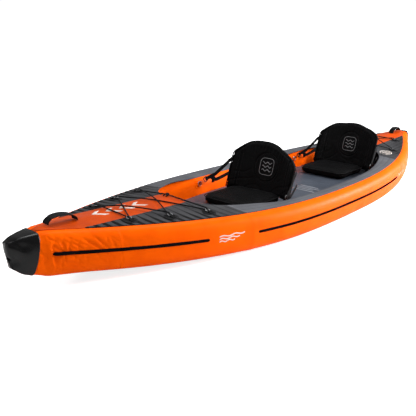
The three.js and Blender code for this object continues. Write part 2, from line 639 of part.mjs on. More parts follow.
// ---- Air valves: a flanged body with a turning cap; one in each side chamber and one in the floor ----
const VALVE = { flange: 34, flangeHeight: 3, cap: 24, capHeight: 12 };
function valveBody() {
  const body = new THREE.CylinderGeometry(VALVE.flange, VALVE.flange, VALVE.flangeHeight, 24);
  return body.rotateX(Math.PI / 2);
}
function valveCap() {
  const cap = new THREE.CylinderGeometry(VALVE.cap - 2, VALVE.cap, VALVE.capHeight, 24);
  const grip = new THREE.BoxGeometry(2 * VALVE.cap - 10, 5, 6).translate(0, VALVE.capHeight / 2 + 2, 0);
  return combined("add", cap, grip).rotateX(Math.PI / 2);
}
const VALVE_X = -985;
const valveHeight = floorTop(VALVE_X) + 42;
const VALVES = {
  port: onWall(VALVE_X, valveHeight, 1, 3.5),
  starboard: onWall(VALVE_X, valveHeight, -1, 3.5),
  floor: new THREE.Matrix4().makeTranslation(VALVE_X, 0, floorTop(VALVE_X) + 1),
};
for (const [name, frame] of Object.entries(VALVES)) {
  const placed = (geometry, height) => geometry.translate(0, 0, height).applyMatrix4(frame);
  const seat = 0.6 + VALVE.flangeHeight;
  add(`${name}_valve_body`, placed(valveBody(), seat - VALVE.flangeHeight / 2), PLASTIC_BLACK);
  add(`${name}_valve_cap`, placed(valveCap(), seat + GAP + VALVE.capHeight / 2), VALVE_GREY);
}

// ---- Skeg track: a slotted base under the stern that a removable skeg slides into ----
const TRACK = { from: -1560, to: -1330, halfWidth: 30, height: 12, slot: 8 };
const underside = (x) => bottomAt(x) - 2 * GAP - SKIN - 0.3;
const trackXs = steps(TRACK.from, TRACK.to, 5);
const block = sheet(
  trackXs, 1, () => -TRACK.halfWidth, () => TRACK.halfWidth,
  (x) => underside(x) - TRACK.height, underside,
);
const slot = sheet(
  trackXs.map((x, i) => x + (i === 0 ? 40 : i === 5 ? 20 : 0)), 1,
  () => -TRACK.slot / 2, () => TRACK.slot / 2,
  (x) => underside(x) - TRACK.height - 5, (x) => underside(x) - 3,
);
add("skeg_track", combined("subtract", block, slot), PLASTIC_BLACK);

export default group;
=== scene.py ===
"""Looks of a two-seat inflatable kayak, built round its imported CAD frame.

Everything is in metres in the frame's own axes: +X to the bow, +Y to port, +Z up, with the origin on
the ground under the middle of the hull.
"""

import json
import logging
import math
from dataclasses import dataclass, field
from enum import Enum
from typing import Callable, Iterable, Sequence

import bpy
import numpy as np
from mathutils import Matrix, Vector, noise
from mathutils.bvhtree import BVHTree

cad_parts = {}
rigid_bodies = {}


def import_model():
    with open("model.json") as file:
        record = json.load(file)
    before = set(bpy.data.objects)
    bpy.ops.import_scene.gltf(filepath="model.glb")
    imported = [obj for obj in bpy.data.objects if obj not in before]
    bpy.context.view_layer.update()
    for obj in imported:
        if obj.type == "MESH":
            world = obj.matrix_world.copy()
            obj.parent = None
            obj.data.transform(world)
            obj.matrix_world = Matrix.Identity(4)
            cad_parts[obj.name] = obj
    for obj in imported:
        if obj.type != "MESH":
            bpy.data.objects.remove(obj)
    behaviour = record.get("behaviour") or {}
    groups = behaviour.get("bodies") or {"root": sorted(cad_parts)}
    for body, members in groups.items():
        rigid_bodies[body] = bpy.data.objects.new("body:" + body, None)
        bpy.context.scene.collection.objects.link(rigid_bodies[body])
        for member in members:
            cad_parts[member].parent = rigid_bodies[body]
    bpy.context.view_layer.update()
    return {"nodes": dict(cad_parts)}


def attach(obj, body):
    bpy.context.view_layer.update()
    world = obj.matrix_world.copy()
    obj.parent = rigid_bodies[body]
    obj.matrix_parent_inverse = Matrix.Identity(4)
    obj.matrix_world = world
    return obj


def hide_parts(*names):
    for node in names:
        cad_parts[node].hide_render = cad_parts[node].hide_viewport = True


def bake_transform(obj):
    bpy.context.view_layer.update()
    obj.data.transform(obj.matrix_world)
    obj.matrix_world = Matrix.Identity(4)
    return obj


LOG = logging.getLogger("kayak")
Points = np.ndarray
Piece = bpy.types.Object
Socket = bpy.types.NodeSocket
Triple = tuple[float, float, float]
Spot = tuple[float, float]
ENDS = {"bow": 1, "stern": -1}
SIDES = {"port": 1, "starboard": -1}
AHEAD = np.array([1.0, 0.0, 0.0])
UP = np.array([0.0, 0.0, 1.0])


def smooth(value: float | Points, low: float, high: float) -> float | Points:
    """Eases from 0 at low to 1 at high.

    Args:
        value: One number or an array of them.
        low: Where the result starts to leave 0.
        high: Where the result reaches 1.

    Returns:
        The eased share, in the shape of value.
    """
    share = np.clip((value - low) / (high - low), 0.0, 1.0)
    return share * share * (3 - 2 * share)


def circle(count: int) -> Points:
    """Gives a number of turns, in radians, evenly round a circle."""
    return np.linspace(0, 2 * math.pi, count, endpoint=False)


def squared(turns: Points, power: float) -> tuple[Points, Points]:
    """Gives the cosine and the sine of turns, with a power below 1 that squares the circle."""
    cosine, sine = np.cos(turns), np.sin(turns)
    return np.sign(cosine) * np.abs(cosine) ** power, np.sign(sine) * np.abs(sine) ** power


def xyz(x: Points | float, y: Points | float, z: Points | float) -> Points:
    """Makes points of three coordinates, each an array or one number."""
    return np.stack(np.broadcast_arrays(x, y, z), -1)


# ---- Hull lines ----
@dataclass(frozen=True)
class HullLines:
    """The hull's lines: every size of the hull at a station x, the same fore and aft."""

    half_length: float = 2.060
    tip_half_width: float = 0.041
    beam_spread: float = 0.478
    plan_power: float = 2.6
    plan_taper: float = 1.323
    chamber_half_width: float = 0.082
    section_power: float = 3.0
    top_amidships: float = 0.194
    sheer_rise: float = 0.100
    rocker: float = 0.088
    flat_share: float = 0.25
    nose_start: float = 0.93
    nose_drop: float = 0.048
    nose_lift: float = 0.034
    cap_rim: float = 1.934
    cap_rake: float = 0.18
    cap_recess: float = 0.004
    skin: float = 0.003
    deck_lift: float = 0.002
    edge_inset: float = 0.054
    crown_share: float = 0.1
    cockpit_half_length: float = 1.090
    cockpit_half_width: float = 0.378
    rounding: float = 0.075
    rounding_depth: float = 0.030

    def share(self, x: Points) -> Points:
        """Gives how far x is from amidships, from 0 to 1."""
        return np.minimum(np.abs(x) / self.half_length, 0.9999)

    def nose(self, x: Points) -> Points:
        """Gives how far x is into the nose's taper, from 0 to 1."""
        return np.clip((self.share(x) - self.nose_start) / (1 - self.nose_start), 0, 1)

    def recess(self, x: Points) -> Points:
        """Gives how much smaller the hull is where an end cap covers it."""
        return self.cap_recess * smooth(np.abs(x), self.cap_rim - 0.045, self.cap_rim - 0.005)

    def half_beam(self, x: Points) -> Points:
        """Gives the half width over both chambers."""
        full = (1 - self.share(x) ** self.plan_power) ** self.plan_taper
        return self.tip_half_width + self.beam_spread * full - self.recess(x)

    def deck_edge(self, x: Points) -> Points:
        """Gives the half width of the deck, where its grey meets the orange side."""
        return self.half_beam(x) - self.edge_inset - 0.012 * self.share(x) ** 2

    def top(self, x: Points) -> Points:
        """Gives the height of the chambers' crests."""
        drop = self.nose_drop * self.nose(x) ** 1.3
        return self.top_amidships + self.sheer_rise * self.share(x) ** 2 - drop - self.recess(x)

    def bottom(self, x: Points) -> Points:
        """Gives the height of the chambers' lowest line."""
        past = np.maximum(0, (self.share(x) - self.flat_share) / (1 - self.flat_share))
        return 0.0033 + self.rocker * past**1.8 + self.nose_lift * self.nose(x) + self.recess(x)

    def half_width(self, x: Points) -> Points:
        """Gives half the width of one side chamber."""
        return np.minimum(self.chamber_half_width, (self.half_beam(x) - 0.0003) / 2)

    def centre(self, x: Points) -> Points:
        """Gives the distance of a side chamber's middle from the hull's."""
        return self.half_beam(x) - self.half_width(x)

    def outer_power(self, x: Points) -> Points:
        """Gives the squareness of a chamber's outer side, which rounds off towards the ends."""
        return self.section_power - 0.8 * smooth(np.abs(x), 1.600, 1.950)

    def inner_power(self, x: Points) -> Points:
        """Gives the squareness of a chamber's inner side, which the other chamber presses flat."""
        return self.section_power + 9 * smooth(np.abs(x), 1.450, 1.800)

    def tip_inset(self, x: Points, tip: float) -> Points:
        """Gives how far the section draws in near a tip, which rounds the nose's corners."""
        past = np.clip((np.abs(x) - (tip - self.rounding)) / self.rounding, 0, 1)
        return self.rounding_depth * (1 - np.sqrt(1 - past * past))

    def chamber_top(self, x: Points, y: Points) -> Points:
        """Gives the height of a side chamber's upper surface."""
        across = np.abs(y) - self.centre(x)
        power = np.where(across > 0, self.outer_power(x), self.inner_power(x))
        u = np.clip(np.abs(across) / self.half_width(x), 0, 1)
        half = (self.top(x) - self.bottom(x)) / 2
        return self.top(x) - half + half * (1 - u**power) ** (1 / power)

    def deck_base(self, x: Points, y: Points) -> Points:
        """Gives the height of the surface that the decks lie on."""
        side = np.abs(y)
        inboard = self.centre(x)
        ridge = np.sqrt((side / inboard) ** 2 + 0.02) - 0.02
        crown = self.crown_share * self.deck_edge(x) * np.clip(1 - ridge, 0, 1) ** 1.2
        spanning = smooth(np.abs(x), 0.450, 0.800)
        on_chamber = self.chamber_top(x, side)
        bridged = (1 - spanning) * on_chamber + spanning * (self.top(x) + crown)
        return np.where(side >= inboard, on_chamber, bridged)

    def deck_top(self, x: Points, y: Points) -> Points:
        """Gives the height of the decks' upper surface."""
        return self.deck_base(x, y) + self.deck_lift + self.skin

    def cockpit_edge(self, x: Points) -> Points:
        """Gives the half width of the cockpit's opening."""
        along = np.minimum(1, np.abs(x) / self.cockpit_half_length)
        return self.cockpit_half_width * (1 - along**3) ** (1 / 2.3)

    def inner_wall(self, x: float, z: float) -> float:
        """Gives the distance of a chamber's inner wall from the hull's middle at a height."""
        middle = (self.top(x) + self.bottom(x)) / 2
        v = min(1.0, abs(z - middle) / ((self.top(x) - self.bottom(x)) / 2))
        return float(self.centre(x) - self.half_width(x) * (1 - v**3) ** (1 / 3))

    def floor_top(self, x: float) -> float:
        """Gives the height of the floor."""
        return float(self.bottom(x)) + 0.0897


LINES = HullLines()


# ---- Finishes ----
class Grain(Enum):
    """The fine relief of a finish."""

    COATED = "coated fabric"
    FOAM = "foam sheet"
    CLOTH = "woven cloth"
    WEBBING = "ribbed webbing"
    BRAID = "braided cord"
    MOULDED = "moulded plastic"
    METAL = "drawn wire"
    PLAIN = "plain"


class Nodes:
    """Writes a material's nodes."""

    def __init__(self, name: str) -> None:
        """Starts a material with one principled shader."""
        self.material = bpy.data.materials.new(name)
        self.material.use_nodes = True
        self.tree = self.material.node_tree
        self.shader = self.tree.nodes["Principled BSDF"]
        self.place = self.add("ShaderNodeTexCoord").outputs["Object"]

    def add(self, kind: str, **settings: object) -> bpy.types.Node:
        """Adds a node.

        Args:
            kind: The node's type name.
            settings: Its properties, by name.

        Returns:
            The node.
        """
        node = self.tree.nodes.new(kind)
        for key, value in settings.items():
            setattr(node, key, value)
        return node

    def join(self, out: Socket, into: Socket) -> None:
        """Links one socket into another."""
        self.tree.links.new(out, into)

    def cloud(self, size: float, detail: float = 3.0, stretch: Sequence[float] = (1, 1, 1)) -> Socket:
        """Adds soft noise.

        Args:
            size: Its feature size, in metres.
            detail: Its octaves.
            stretch: How much finer it is along each axis.

        Returns:
            Its value, from 0 to 1.
        """
        mapping = self.add("ShaderNodeMapping")
        mapping.inputs["Scale"].default_value = stretch
        self.join(self.place, mapping.inputs["Vector"])
        node = self.add("ShaderNodeTexNoise")
        node.inputs["Scale"].default_value = 1 / size
        node.inputs["Detail"].default_value = detail
        self.join(mapping.outputs["Vector"], node.inputs["Vector"])
        return node.outputs["Fac"]

    def cells(self, size: float) -> Socket:
        """Adds round pebbles of a size, in metres, and gives their distance field."""
        node = self.add("ShaderNodeTexVoronoi")
        node.inputs["Scale"].default_value = 1 / size
        self.join(self.place, node.inputs["Vector"])
        return node.outputs["Distance"]

    def ribs(self, pitch: float, turn: Sequence[float]) -> Socket:
        """Adds parallel rounded ribs.

        Args:
            pitch: The distance between ribs, in metres.
            turn: The direction across the ribs, as a rotation in radians of the X axis.

        Returns:
            Their height, from 0 to 1.
        """
        mapping = self.add("ShaderNodeMapping")
        mapping.inputs["Rotation"].default_value = turn
        self.join(self.place, mapping.inputs["Vector"])
        node = self.add("ShaderNodeTexWave")
        node.inputs["Scale"].default_value = 0.314 / pitch
        self.join(mapping.outputs["Vector"], node.inputs["Vector"])
        return node.outputs["Fac"]

    def total(self, a: Socket, b: Socket) -> Socket:
        """Adds one value to another."""
        node = self.add("ShaderNodeMath", operation="ADD")
        self.join(a, node.inputs[0])
        self.join(b, node.inputs[1])
        return node.outputs[0]

    def ramp(self, value: Socket, *stops: tuple[float, Sequence[float]]) -> Socket:
        """Turns a value into a colour between two stops, each a place and a colour."""
        node = self.add("ShaderNodeValToRGB")
        for element, (place, colour) in zip(node.color_ramp.elements, stops):
            element.position = place
            element.color = (*colour, 1)
        self.join(value, node.inputs["Fac"])
        return node.outputs["Color"]

    def mix(self, share: Socket, under: Socket, colour: Sequence[float]) -> Socket:
        """Mixes a plain colour over another by a share."""
        node = self.add("ShaderNodeMix", data_type="RGBA")
        self.join(share, node.inputs["Factor"])
        self.join(under, node.inputs[6])
        node.inputs[7].default_value = (*colour, 1)
        return node.outputs[2]

    def bump(self, height: Socket, depth: float, after: Socket | None = None) -> Socket:
        """Adds relief.

        Args:
            height: The relief's height, from 0 to 1.
            depth: How high 1 stands, in metres.
            after: Relief that this one lies on.

        Returns:
            The normal.
        """
        node = self.add("ShaderNodeBump")
        node.inputs["Distance"].default_value = depth
        node.inputs["Strength"].default_value = 1.0
        self.join(height, node.inputs["Height"])
        if after is not None:
            self.join(after, node.inputs["Normal"])
        return node.outputs["Normal"]


@dataclass(frozen=True)
class Finish:
    """One finish: its colours, its gloss and its relief."""

    name: str
    slot: str
    colour: Triple
    worn: Triple
    grain: Grain
    roughness: tuple[float, float] = (0.4, 0.5)
    relief: float = 0.0003
    grain_size: float = 0.002
    waves: float = 0.0
    wave_size: float = 0.08
    metallic: float = 0.0
    specular: float = 0.5
    tint: Triple = (1.0, 1.0, 1.0)
    glow: float = 0.0
    # The dark colour mixed in by the mark attribute: dark seam lines, and painted shade in the pad grooves
    # and cover welts.
    ink_and_shade: Triple = (0.004, 0.004, 0.004)

    def height(self, nodes: Nodes) -> Socket:
        """Adds the grain's height field.

        Args:
            nodes: The material's nodes.

        Returns:
            The height, from 0 to 1.
        """
        size = self.grain_size
        quarter = math.pi / 2
        if self.grain is Grain.CLOTH:
            warp = nodes.total(nodes.ribs(size, (0, 0, 0)), nodes.ribs(size, (0, 0, quarter)))
            return nodes.total(warp, nodes.ribs(size, (0, quarter, 0)))
        if self.grain is Grain.WEBBING:
            weave = nodes.total(nodes.ribs(size, (0, 0, 0.7)), nodes.ribs(size, (0, 0.7, -0.7)))
            return nodes.total(weave, nodes.cloud(size, 1.0))
        if self.grain is Grain.BRAID:
            return nodes.total(nodes.ribs(size, (0.6, 0.6, 0.8)), nodes.ribs(size, (-0.6, 0.6, -0.8)))
        if self.grain is Grain.FOAM:
            return nodes.total(nodes.cells(size), nodes.cloud(size * 2, 2.0))
        if self.grain is Grain.METAL:
            return nodes.cloud(size, 2.0, (1, 1, 6))
        return nodes.total(nodes.cells(size), nodes.cloud(size * 4, 3.0))

    def material(self) -> bpy.types.Material:
        """Gives this finish's material, made the first time it's asked for."""
        made = bpy.data.materials.get(self.name)
        if made is not None:
            return made
        nodes = Nodes(self.name)
        shader = nodes.shader.inputs
        mottle = nodes.cloud(0.11, 4.0)
        colour = nodes.ramp(mottle, (0.32, self.worn), (0.62, self.colour))
        # Mixes in the dark colour where the mesh's mark attribute asks: dark seam lines, and painted shade in
        # grooves.
        ink_and_shade = nodes.add("ShaderNodeAttribute", attribute_name="ink_and_shade").outputs["Fac"]
        nodes.join(nodes.mix(ink_and_shade, colour, self.ink_and_shade), shader["Base Color"])
        low, high = self.roughness
        scuff = nodes.ramp(nodes.cloud(0.035, 5.0), (0.3, (low,) * 3), (0.7, (high,) * 3))
        nodes.join(scuff, shader["Roughness"])
        normal = None
        if self.waves:
            normal = nodes.bump(nodes.cloud(self.wave_size, 2.0), self.waves)
        if self.grain is not Grain.PLAIN:
            normal = nodes.bump(self.height(nodes), self.relief, normal)
        if normal is not None:
            nodes.join(normal, shader["Normal"])
        shader["Metallic"].default_value = self.metallic
        shader["Specular IOR Level"].default_value = self.specular
        shader["Specular Tint"].default_value = (*self.tint, 1)
        if self.glow:
            shader["Emission Color"].default_value = (self.glow,) * 3 + (1,)
            seen = nodes.add("ShaderNodeLightPath").outputs["Is Camera Ray"]
            nodes.join(seen, shader["Emission Strength"])
        return nodes.material


ORANGE = Finish(
    "orange_coated_fabric", "orange_pvc", (0.92, 0.106, 0.0008), (0.84, 0.088, 0.0008), Grain.COATED,
    roughness=(0.34, 0.46), relief=0.0001, grain_size=0.0016, waves=0.0012, wave_size=0.09,
    specular=0.035, ink_and_shade=(0.42, 0.040, 0.001),
    tint=(1.0, 0.50, 0.15),
)
DECK_ORANGE = Finish(
    "orange_deck_fabric", "orange_pvc", (0.50, 0.054, 0.002), (0.41, 0.042, 0.002), Grain.COATED,
    roughness=(0.34, 0.44), relief=0.00018, grain_size=0.0022, waves=0.0008, wave_size=0.07, specular=0.08,
    tint=(1.0, 0.75, 0.55),
)
PAD_GREY = Finish(
    "grey_grip_foam", "deck_foam", (0.048, 0.048, 0.052), (0.037, 0.037, 0.040), Grain.FOAM,
    roughness=(0.62, 0.75), relief=0.0005, grain_size=0.0028, specular=0.06,
)
COVER_GREY = Finish(
    "grey_cover_fabric", "deck_foam", (0.082, 0.084, 0.094), (0.065, 0.067, 0.076), Grain.COATED,
    roughness=(0.45, 0.56), relief=0.0002, grain_size=0.0018, specular=0.14,
)
FLOOR_GREY = Finish(
    "slate_floor_fabric", "grey_pvc", (0.044, 0.053, 0.070), (0.035, 0.043, 0.058), Grain.COATED,
    roughness=(0.34, 0.46), relief=0.00025, grain_size=0.0035, waves=0.0006, wave_size=0.05, specular=0.3,
)
CAP_BLACK = Finish(
    "black_cap_fabric", "cap_moulding", (0.0008, 0.0008, 0.0010), (0.0018, 0.0018, 0.0020), Grain.COATED,
    roughness=(0.20, 0.28), relief=0.0001, grain_size=0.0013, waves=0.0012, wave_size=0.045, specular=0.26,
)
STRIP_BLACK = Finish(
    "black_strip_rubber", "cap_moulding", (0.003, 0.003, 0.004), (0.006, 0.006, 0.007), Grain.COATED,
    roughness=(0.75, 0.85), relief=0.0001, grain_size=0.001, specular=0.0,
)
WEBBING = Finish(
    "black_webbing", "webbing", (0.0026, 0.0026, 0.0030), (0.0055, 0.0055, 0.0060), Grain.WEBBING,
    roughness=(0.6, 0.75), relief=0.0005, grain_size=0.0022, specular=0.06,
)
PATCH_BLACK = Finish(
    "black_patch_fabric", "webbing", (0.007, 0.007, 0.008), (0.013, 0.013, 0.014), Grain.CLOTH,
    roughness=(0.55, 0.7), relief=0.0002, grain_size=0.0016, specular=0.08,
)
CORD_BLACK = Finish(
    "black_elastic_cord", "elastic_cord", (0.004, 0.004, 0.0045), (0.010, 0.010, 0.011), Grain.BRAID,
    roughness=(0.5, 0.65), relief=0.0006, grain_size=0.0024, specular=0.08,
)
SEAT_CLOTH = Finish(
    "black_seat_cloth", "seat_fabric", (0.0014, 0.0014, 0.0016), (0.0026, 0.0025, 0.0028), Grain.CLOTH,
    roughness=(0.55, 0.7), relief=0.00022, grain_size=0.0013, waves=0.0022, wave_size=0.075,
    specular=0.05,
)
SEAT_SIDE = Finish(
    "black_seat_side_cloth", "seat_fabric", (0.005, 0.005, 0.0055), (0.009, 0.009, 0.0095), Grain.CLOTH,
    roughness=(0.5, 0.65), relief=0.0004, grain_size=0.0026, waves=0.0015, wave_size=0.05,
    specular=0.08,
)
PLASTIC = Finish(
    "black_buckle_plastic", "black_plastic", (0.005, 0.005, 0.006), (0.009, 0.009, 0.010), Grain.MOULDED,
    roughness=(0.3, 0.42), relief=0.00006, grain_size=0.0008, specular=0.3,
)
VALVE_GREY = Finish(
    "grey_valve_plastic", "valve_plastic", (0.18, 0.19, 0.21), (0.14, 0.15, 0.17), Grain.MOULDED,
    roughness=(0.38, 0.5), relief=0.00006, grain_size=0.0008,
)
STEEL = Finish(
    "stainless_wire", "ring_steel", (0.22, 0.22, 0.23), (0.15, 0.15, 0.16), Grain.METAL,
    roughness=(0.3, 0.42), relief=0.00002, grain_size=0.002, metallic=1.0,
)
THREAD = Finish(
    "grey_sewing_thread", "webbing", (0.026, 0.026, 0.028), (0.018, 0.018, 0.020), Grain.BRAID,
    roughness=(0.6, 0.75), relief=0.0001, grain_size=0.0006, specular=0.2,
)
PRINT_WHITE = Finish(
    "white_print", "orange_pvc", (0.62, 0.56, 0.52), (0.50, 0.43, 0.38), Grain.COATED,
    roughness=(0.4, 0.5), relief=0.00006, grain_size=0.0016,
)
PRINT_GREY = Finish(
    "grey_print", "grey_pvc", (0.20, 0.21, 0.23), (0.13, 0.14, 0.16), Grain.COATED,
    roughness=(0.45, 0.55), relief=0.00006, grain_size=0.0016,
)
LABEL_GREY = Finish(
    "grey_label_thread", "seat_fabric", (0.17, 0.17, 0.175), (0.12, 0.12, 0.125), Grain.BRAID,
    roughness=(0.6, 0.75), relief=0.0002, grain_size=0.0012,
)
STAGE_WHITE = Finish(
    "pale_studio_floor", "stage", (0.80, 0.80, 0.80), (0.79, 0.79, 0.79), Grain.PLAIN,
    roughness=(0.75, 0.8), specular=0.0, glow=0.8,
)


# ---- Mesh makers ----
def mesh_object(name: str, points: Points, faces: Sequence[Sequence[int]], finish: Finish) -> Piece:
    """Makes an object from points and faces.

    Args:
        name: Its name.
        points: Its points, one row each.
        faces: Its faces, as rows of point numbers.
        finish: Its finish.

    Returns:
        The object, in the scene.
    """
    mesh = bpy.data.meshes.new(name)
    mesh.from_pydata(np.asarray(points, float).reshape(-1, 3).tolist(), [], [list(f) for f in faces])
    mesh.validate()
    mesh.polygons.foreach_set("use_smooth", [True] * len(mesh.polygons))
    mesh.materials.append(finish.material())
    made = bpy.data.objects.new(name, mesh)
    bpy.context.scene.collection.objects.link(made)
    return made


def grid_faces(rows: int, columns: int, ring: bool, start: int = 0, turned: bool = False) -> list[list[int]]:
    """Gives the faces of a grid of points.

    Args:
        rows: The number of rows of points.
        columns: The number of points in a row.
        ring: Whether each row closes on itself.
        start: The first point's number.
        turned: Whether the faces look the other way.

    Returns:
        The faces.
    """
    faces = []
    for i in range(rows - 1):
        for j in range(columns if ring else columns - 1):
            a = start + i * columns + j
            b = start + i * columns + (j + 1) % columns
            face = [a, b, b + columns, a + columns]
            faces.append(face[::-1] if turned else face)
    return faces


def loft(name: str, rings: Points, finish: Finish, tips: Points | None = None) -> Piece:
    """Makes a closed solid through rings of points, counter-clockwise seen from the last ring.

    Args:
        name: Its name.
        rings: The rings, as an array of rings by points by 3.
        finish: Its finish.
        tips: The middles of its two end faces, where they aren't the end rings' own.

    Returns:
        The object.
    """
    rings = np.asarray(rings, float)
    count, sides = rings.shape[:2]
    tips = rings[[0, -1]].mean(1) if tips is None else tips
    points = np.vstack([rings.reshape(-1, 3), tips])
    faces = grid_faces(count, sides, True)
    first, last = count * sides, count * sides + 1
    for j in range(sides):
        following = (j + 1) % sides
        faces.append([first, following, j])
        faces.append([last, (count - 1) * sides + j, (count - 1) * sides + following])
    return mesh_object(name, points, faces, finish)


def rounded_path(points: Iterable[Sequence[float]], step: float, closed: bool = False) -> Points:
    """Runs a smooth curve through points and samples it evenly.

    Args:
        points: The points it passes.
        step: The distance between samples, in metres.
        closed: Whether the curve returns to its first point.

    Returns:
        The samples, one row each.
    """
    base = np.asarray(list(points), float)
    count = len(base)
    samples = []
    for i in range(count if closed else count - 1):
        near = np.arange(i - 1, i + 3)
        a, b, c, d = base[near % count if closed else np.clip(near, 0, count - 1)]
        length = max(np.linalg.norm(c - b), 1e-6)
        pieces = max(2, int(length / step))
        tangent_b = 0.5 * (c - a) * min(1.0, length / max(np.linalg.norm(b - a), 1e-6) + 0.15)
        tangent_c = 0.5 * (d - b) * min(1.0, length / max(np.linalg.norm(d - c), 1e-6) + 0.15)
        for k in range(pieces):
            t = k / pieces
            h = (2 * t**3 - 3 * t**2 + 1, t**3 - 2 * t**2 + t, -2 * t**3 + 3 * t**2, t**3 - t**2)
            samples.append(h[0] * b + h[1] * tangent_b + h[2] * c + h[3] * tangent_c)
    if not closed:
        samples.append(base[-1])
    return np.array(samples)


def path_frames(path: Points, closed: bool, up: Sequence[float]) -> tuple[Points, Points]:
    """Carries two directions along a path without twist.

    Args:
        path: The path's points.
        closed: Whether it's a loop.
        up: The first direction at the start.

    Returns:
        The direction that starts as up, and the one square to it, at each point.
    """
    if closed:
        along = np.roll(path, -1, 0) - np.roll(path, 1, 0)
    else:
        along = np.gradient(path, axis=0)
    along = along / np.maximum(np.linalg.norm(along, axis=1, keepdims=True), 1e-9)
    normal = np.asarray(up, float)
    normals, sides = [], []
    for direction in along:
        normal = normal - direction * (normal @ direction)
        normal = normal / np.linalg.norm(normal)
        normals.append(normal)
        sides.append(np.cross(direction, normal))
    return np.array(normals), np.array(sides)


def tube(
    name: str,
    path: Points,
    radius: float | Points,
    finish: Finish,
    sides: int = 10,
    closed: bool = False,
    up: Sequence[float] = (0, 0, 1),
) -> Piece:
    """Makes a round bar along a path.

    Args:
        name: Its name.
        path: The path's points.
        radius: Its radius, one number or one at each point.
        finish: Its finish.
        sides: How many sides its section has.
        closed: Whether the path is a loop.
        up: A direction that isn't along the path at its start.

    Returns:
        The object.
    """
    normals, across = path_frames(path, closed, up)
    turns = circle(sides)
    thick = np.broadcast_to(np.asarray(radius, float), (len(path),))[:, None, None]
    ring = np.cos(turns)[:, None] * normals[:, None] + np.sin(turns)[:, None] * across[:, None]
    rings = path[:, None] + thick * ring
    if not closed:
        return loft(name, rings, finish)
    count = len(path)
    faces = grid_faces(count, sides, True)
    for j in range(sides):
        following = (j + 1) % sides
        faces.append([(count - 1) * sides + j, (count - 1) * sides + following, following, j])
    return mesh_object(name, rings, faces, finish)


def band(
    name: str,
    path: Points,
    faces_to: Points,
    width: float | Points,
    thickness: float,
    finish: Finish,
) -> Piece:
    """Makes a flat band with rounded edges along a path.

    Args:
        name: Its name.
        path: The path's points.
        faces_to: The direction of its upper face, one for all or one at each point.
        width: Its width, one number or one at each point.
        thickness: Its thickness.
        finish: Its finish.

    Returns:
        The object.
    """
    along = np.gradient(path, axis=0)
    along /= np.linalg.norm(along, axis=1, keepdims=True)
    up = np.broadcast_to(np.asarray(faces_to, float), path.shape)
    across = np.cross(up, along)
    across /= np.linalg.norm(across, axis=1, keepdims=True)
    up = np.cross(along, across)
    wide = np.broadcast_to(np.asarray(width, float), (len(path),))[:, None, None] / 2
    shares = np.array([-1, -0.92, -0.6, 0, 0.6, 0.92, 1.0])
    lifts = thickness / 2 * np.array([0.25, 0.9, 1, 1, 1, 0.9, 0.25])
    section = np.concatenate([shares, shares[::-1]])
    rise = np.concatenate([lifts, -lifts[::-1]])
    rings = path[:, None] + wide * section[:, None] * across[:, None] + rise[:, None] * up[:, None]
    return loft(name, rings[:, ::-1], finish)


def joined(name: str, pieces: Sequence[Piece]) -> Piece:
    """Joins pieces into the first of them.

    Args:
        name: Its name.
        pieces: The pieces.

    Returns:
        The joined piece.
    """
    keep = pieces[0]
    with bpy.context.temp_override(
        active_object=keep, object=keep, selected_objects=list(pieces), selected_editable_objects=list(pieces)
    ):
        bpy.ops.object.join()
    keep.name = name
    keep.data.name = name
    return keep


def set_ink_and_shade(piece: Piece, share: Points) -> None:
    """Stores how much of the finish's dark colour shows at each point of a piece: dark seam lines, and
    painted shade in grooves.
    """
    attribute = piece.data.attributes.new("ink_and_shade", "FLOAT", "POINT")
    attribute.data.foreach_set("value", np.asarray(share, np.float32).ravel())


def place(piece: Piece, body: str, finish: Finish, replaces: Sequence[str] = ()) -> Piece:
    """Makes a piece ride on a body.

    Args:
        piece: The piece.
        body: The body's name.
        finish: Not used.
        replaces: The CAD nodes that it stands for.

    Returns:
        The piece.
    """
    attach(piece, body)
    if replaces:
        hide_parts(*replaces)
    LOG.info("%s rides on %s", piece.name, body)
    return piece


def dress(node: Piece, finish: Finish) -> None:
    """Gives a CAD node a finish."""
    node.data.materials.clear()
    node.data.materials.append(finish.material())


def ripple(points: Points, size: Sequence[float], seed: float) -> Points:
    """Gives smooth seeded noise at points, from -1 to 1.

    Args:
        points: The points.
        size: The noise's feature size along each axis.
        seed: A number that picks one noise.

    Returns:
        One value for each point.
    """
    scaled = points / np.asarray(size, float) + seed * 7.31
    return np.array([noise.noise(Vector(p)) for p in scaled.reshape(-1, 3)]).reshape(points.shape[:-1])


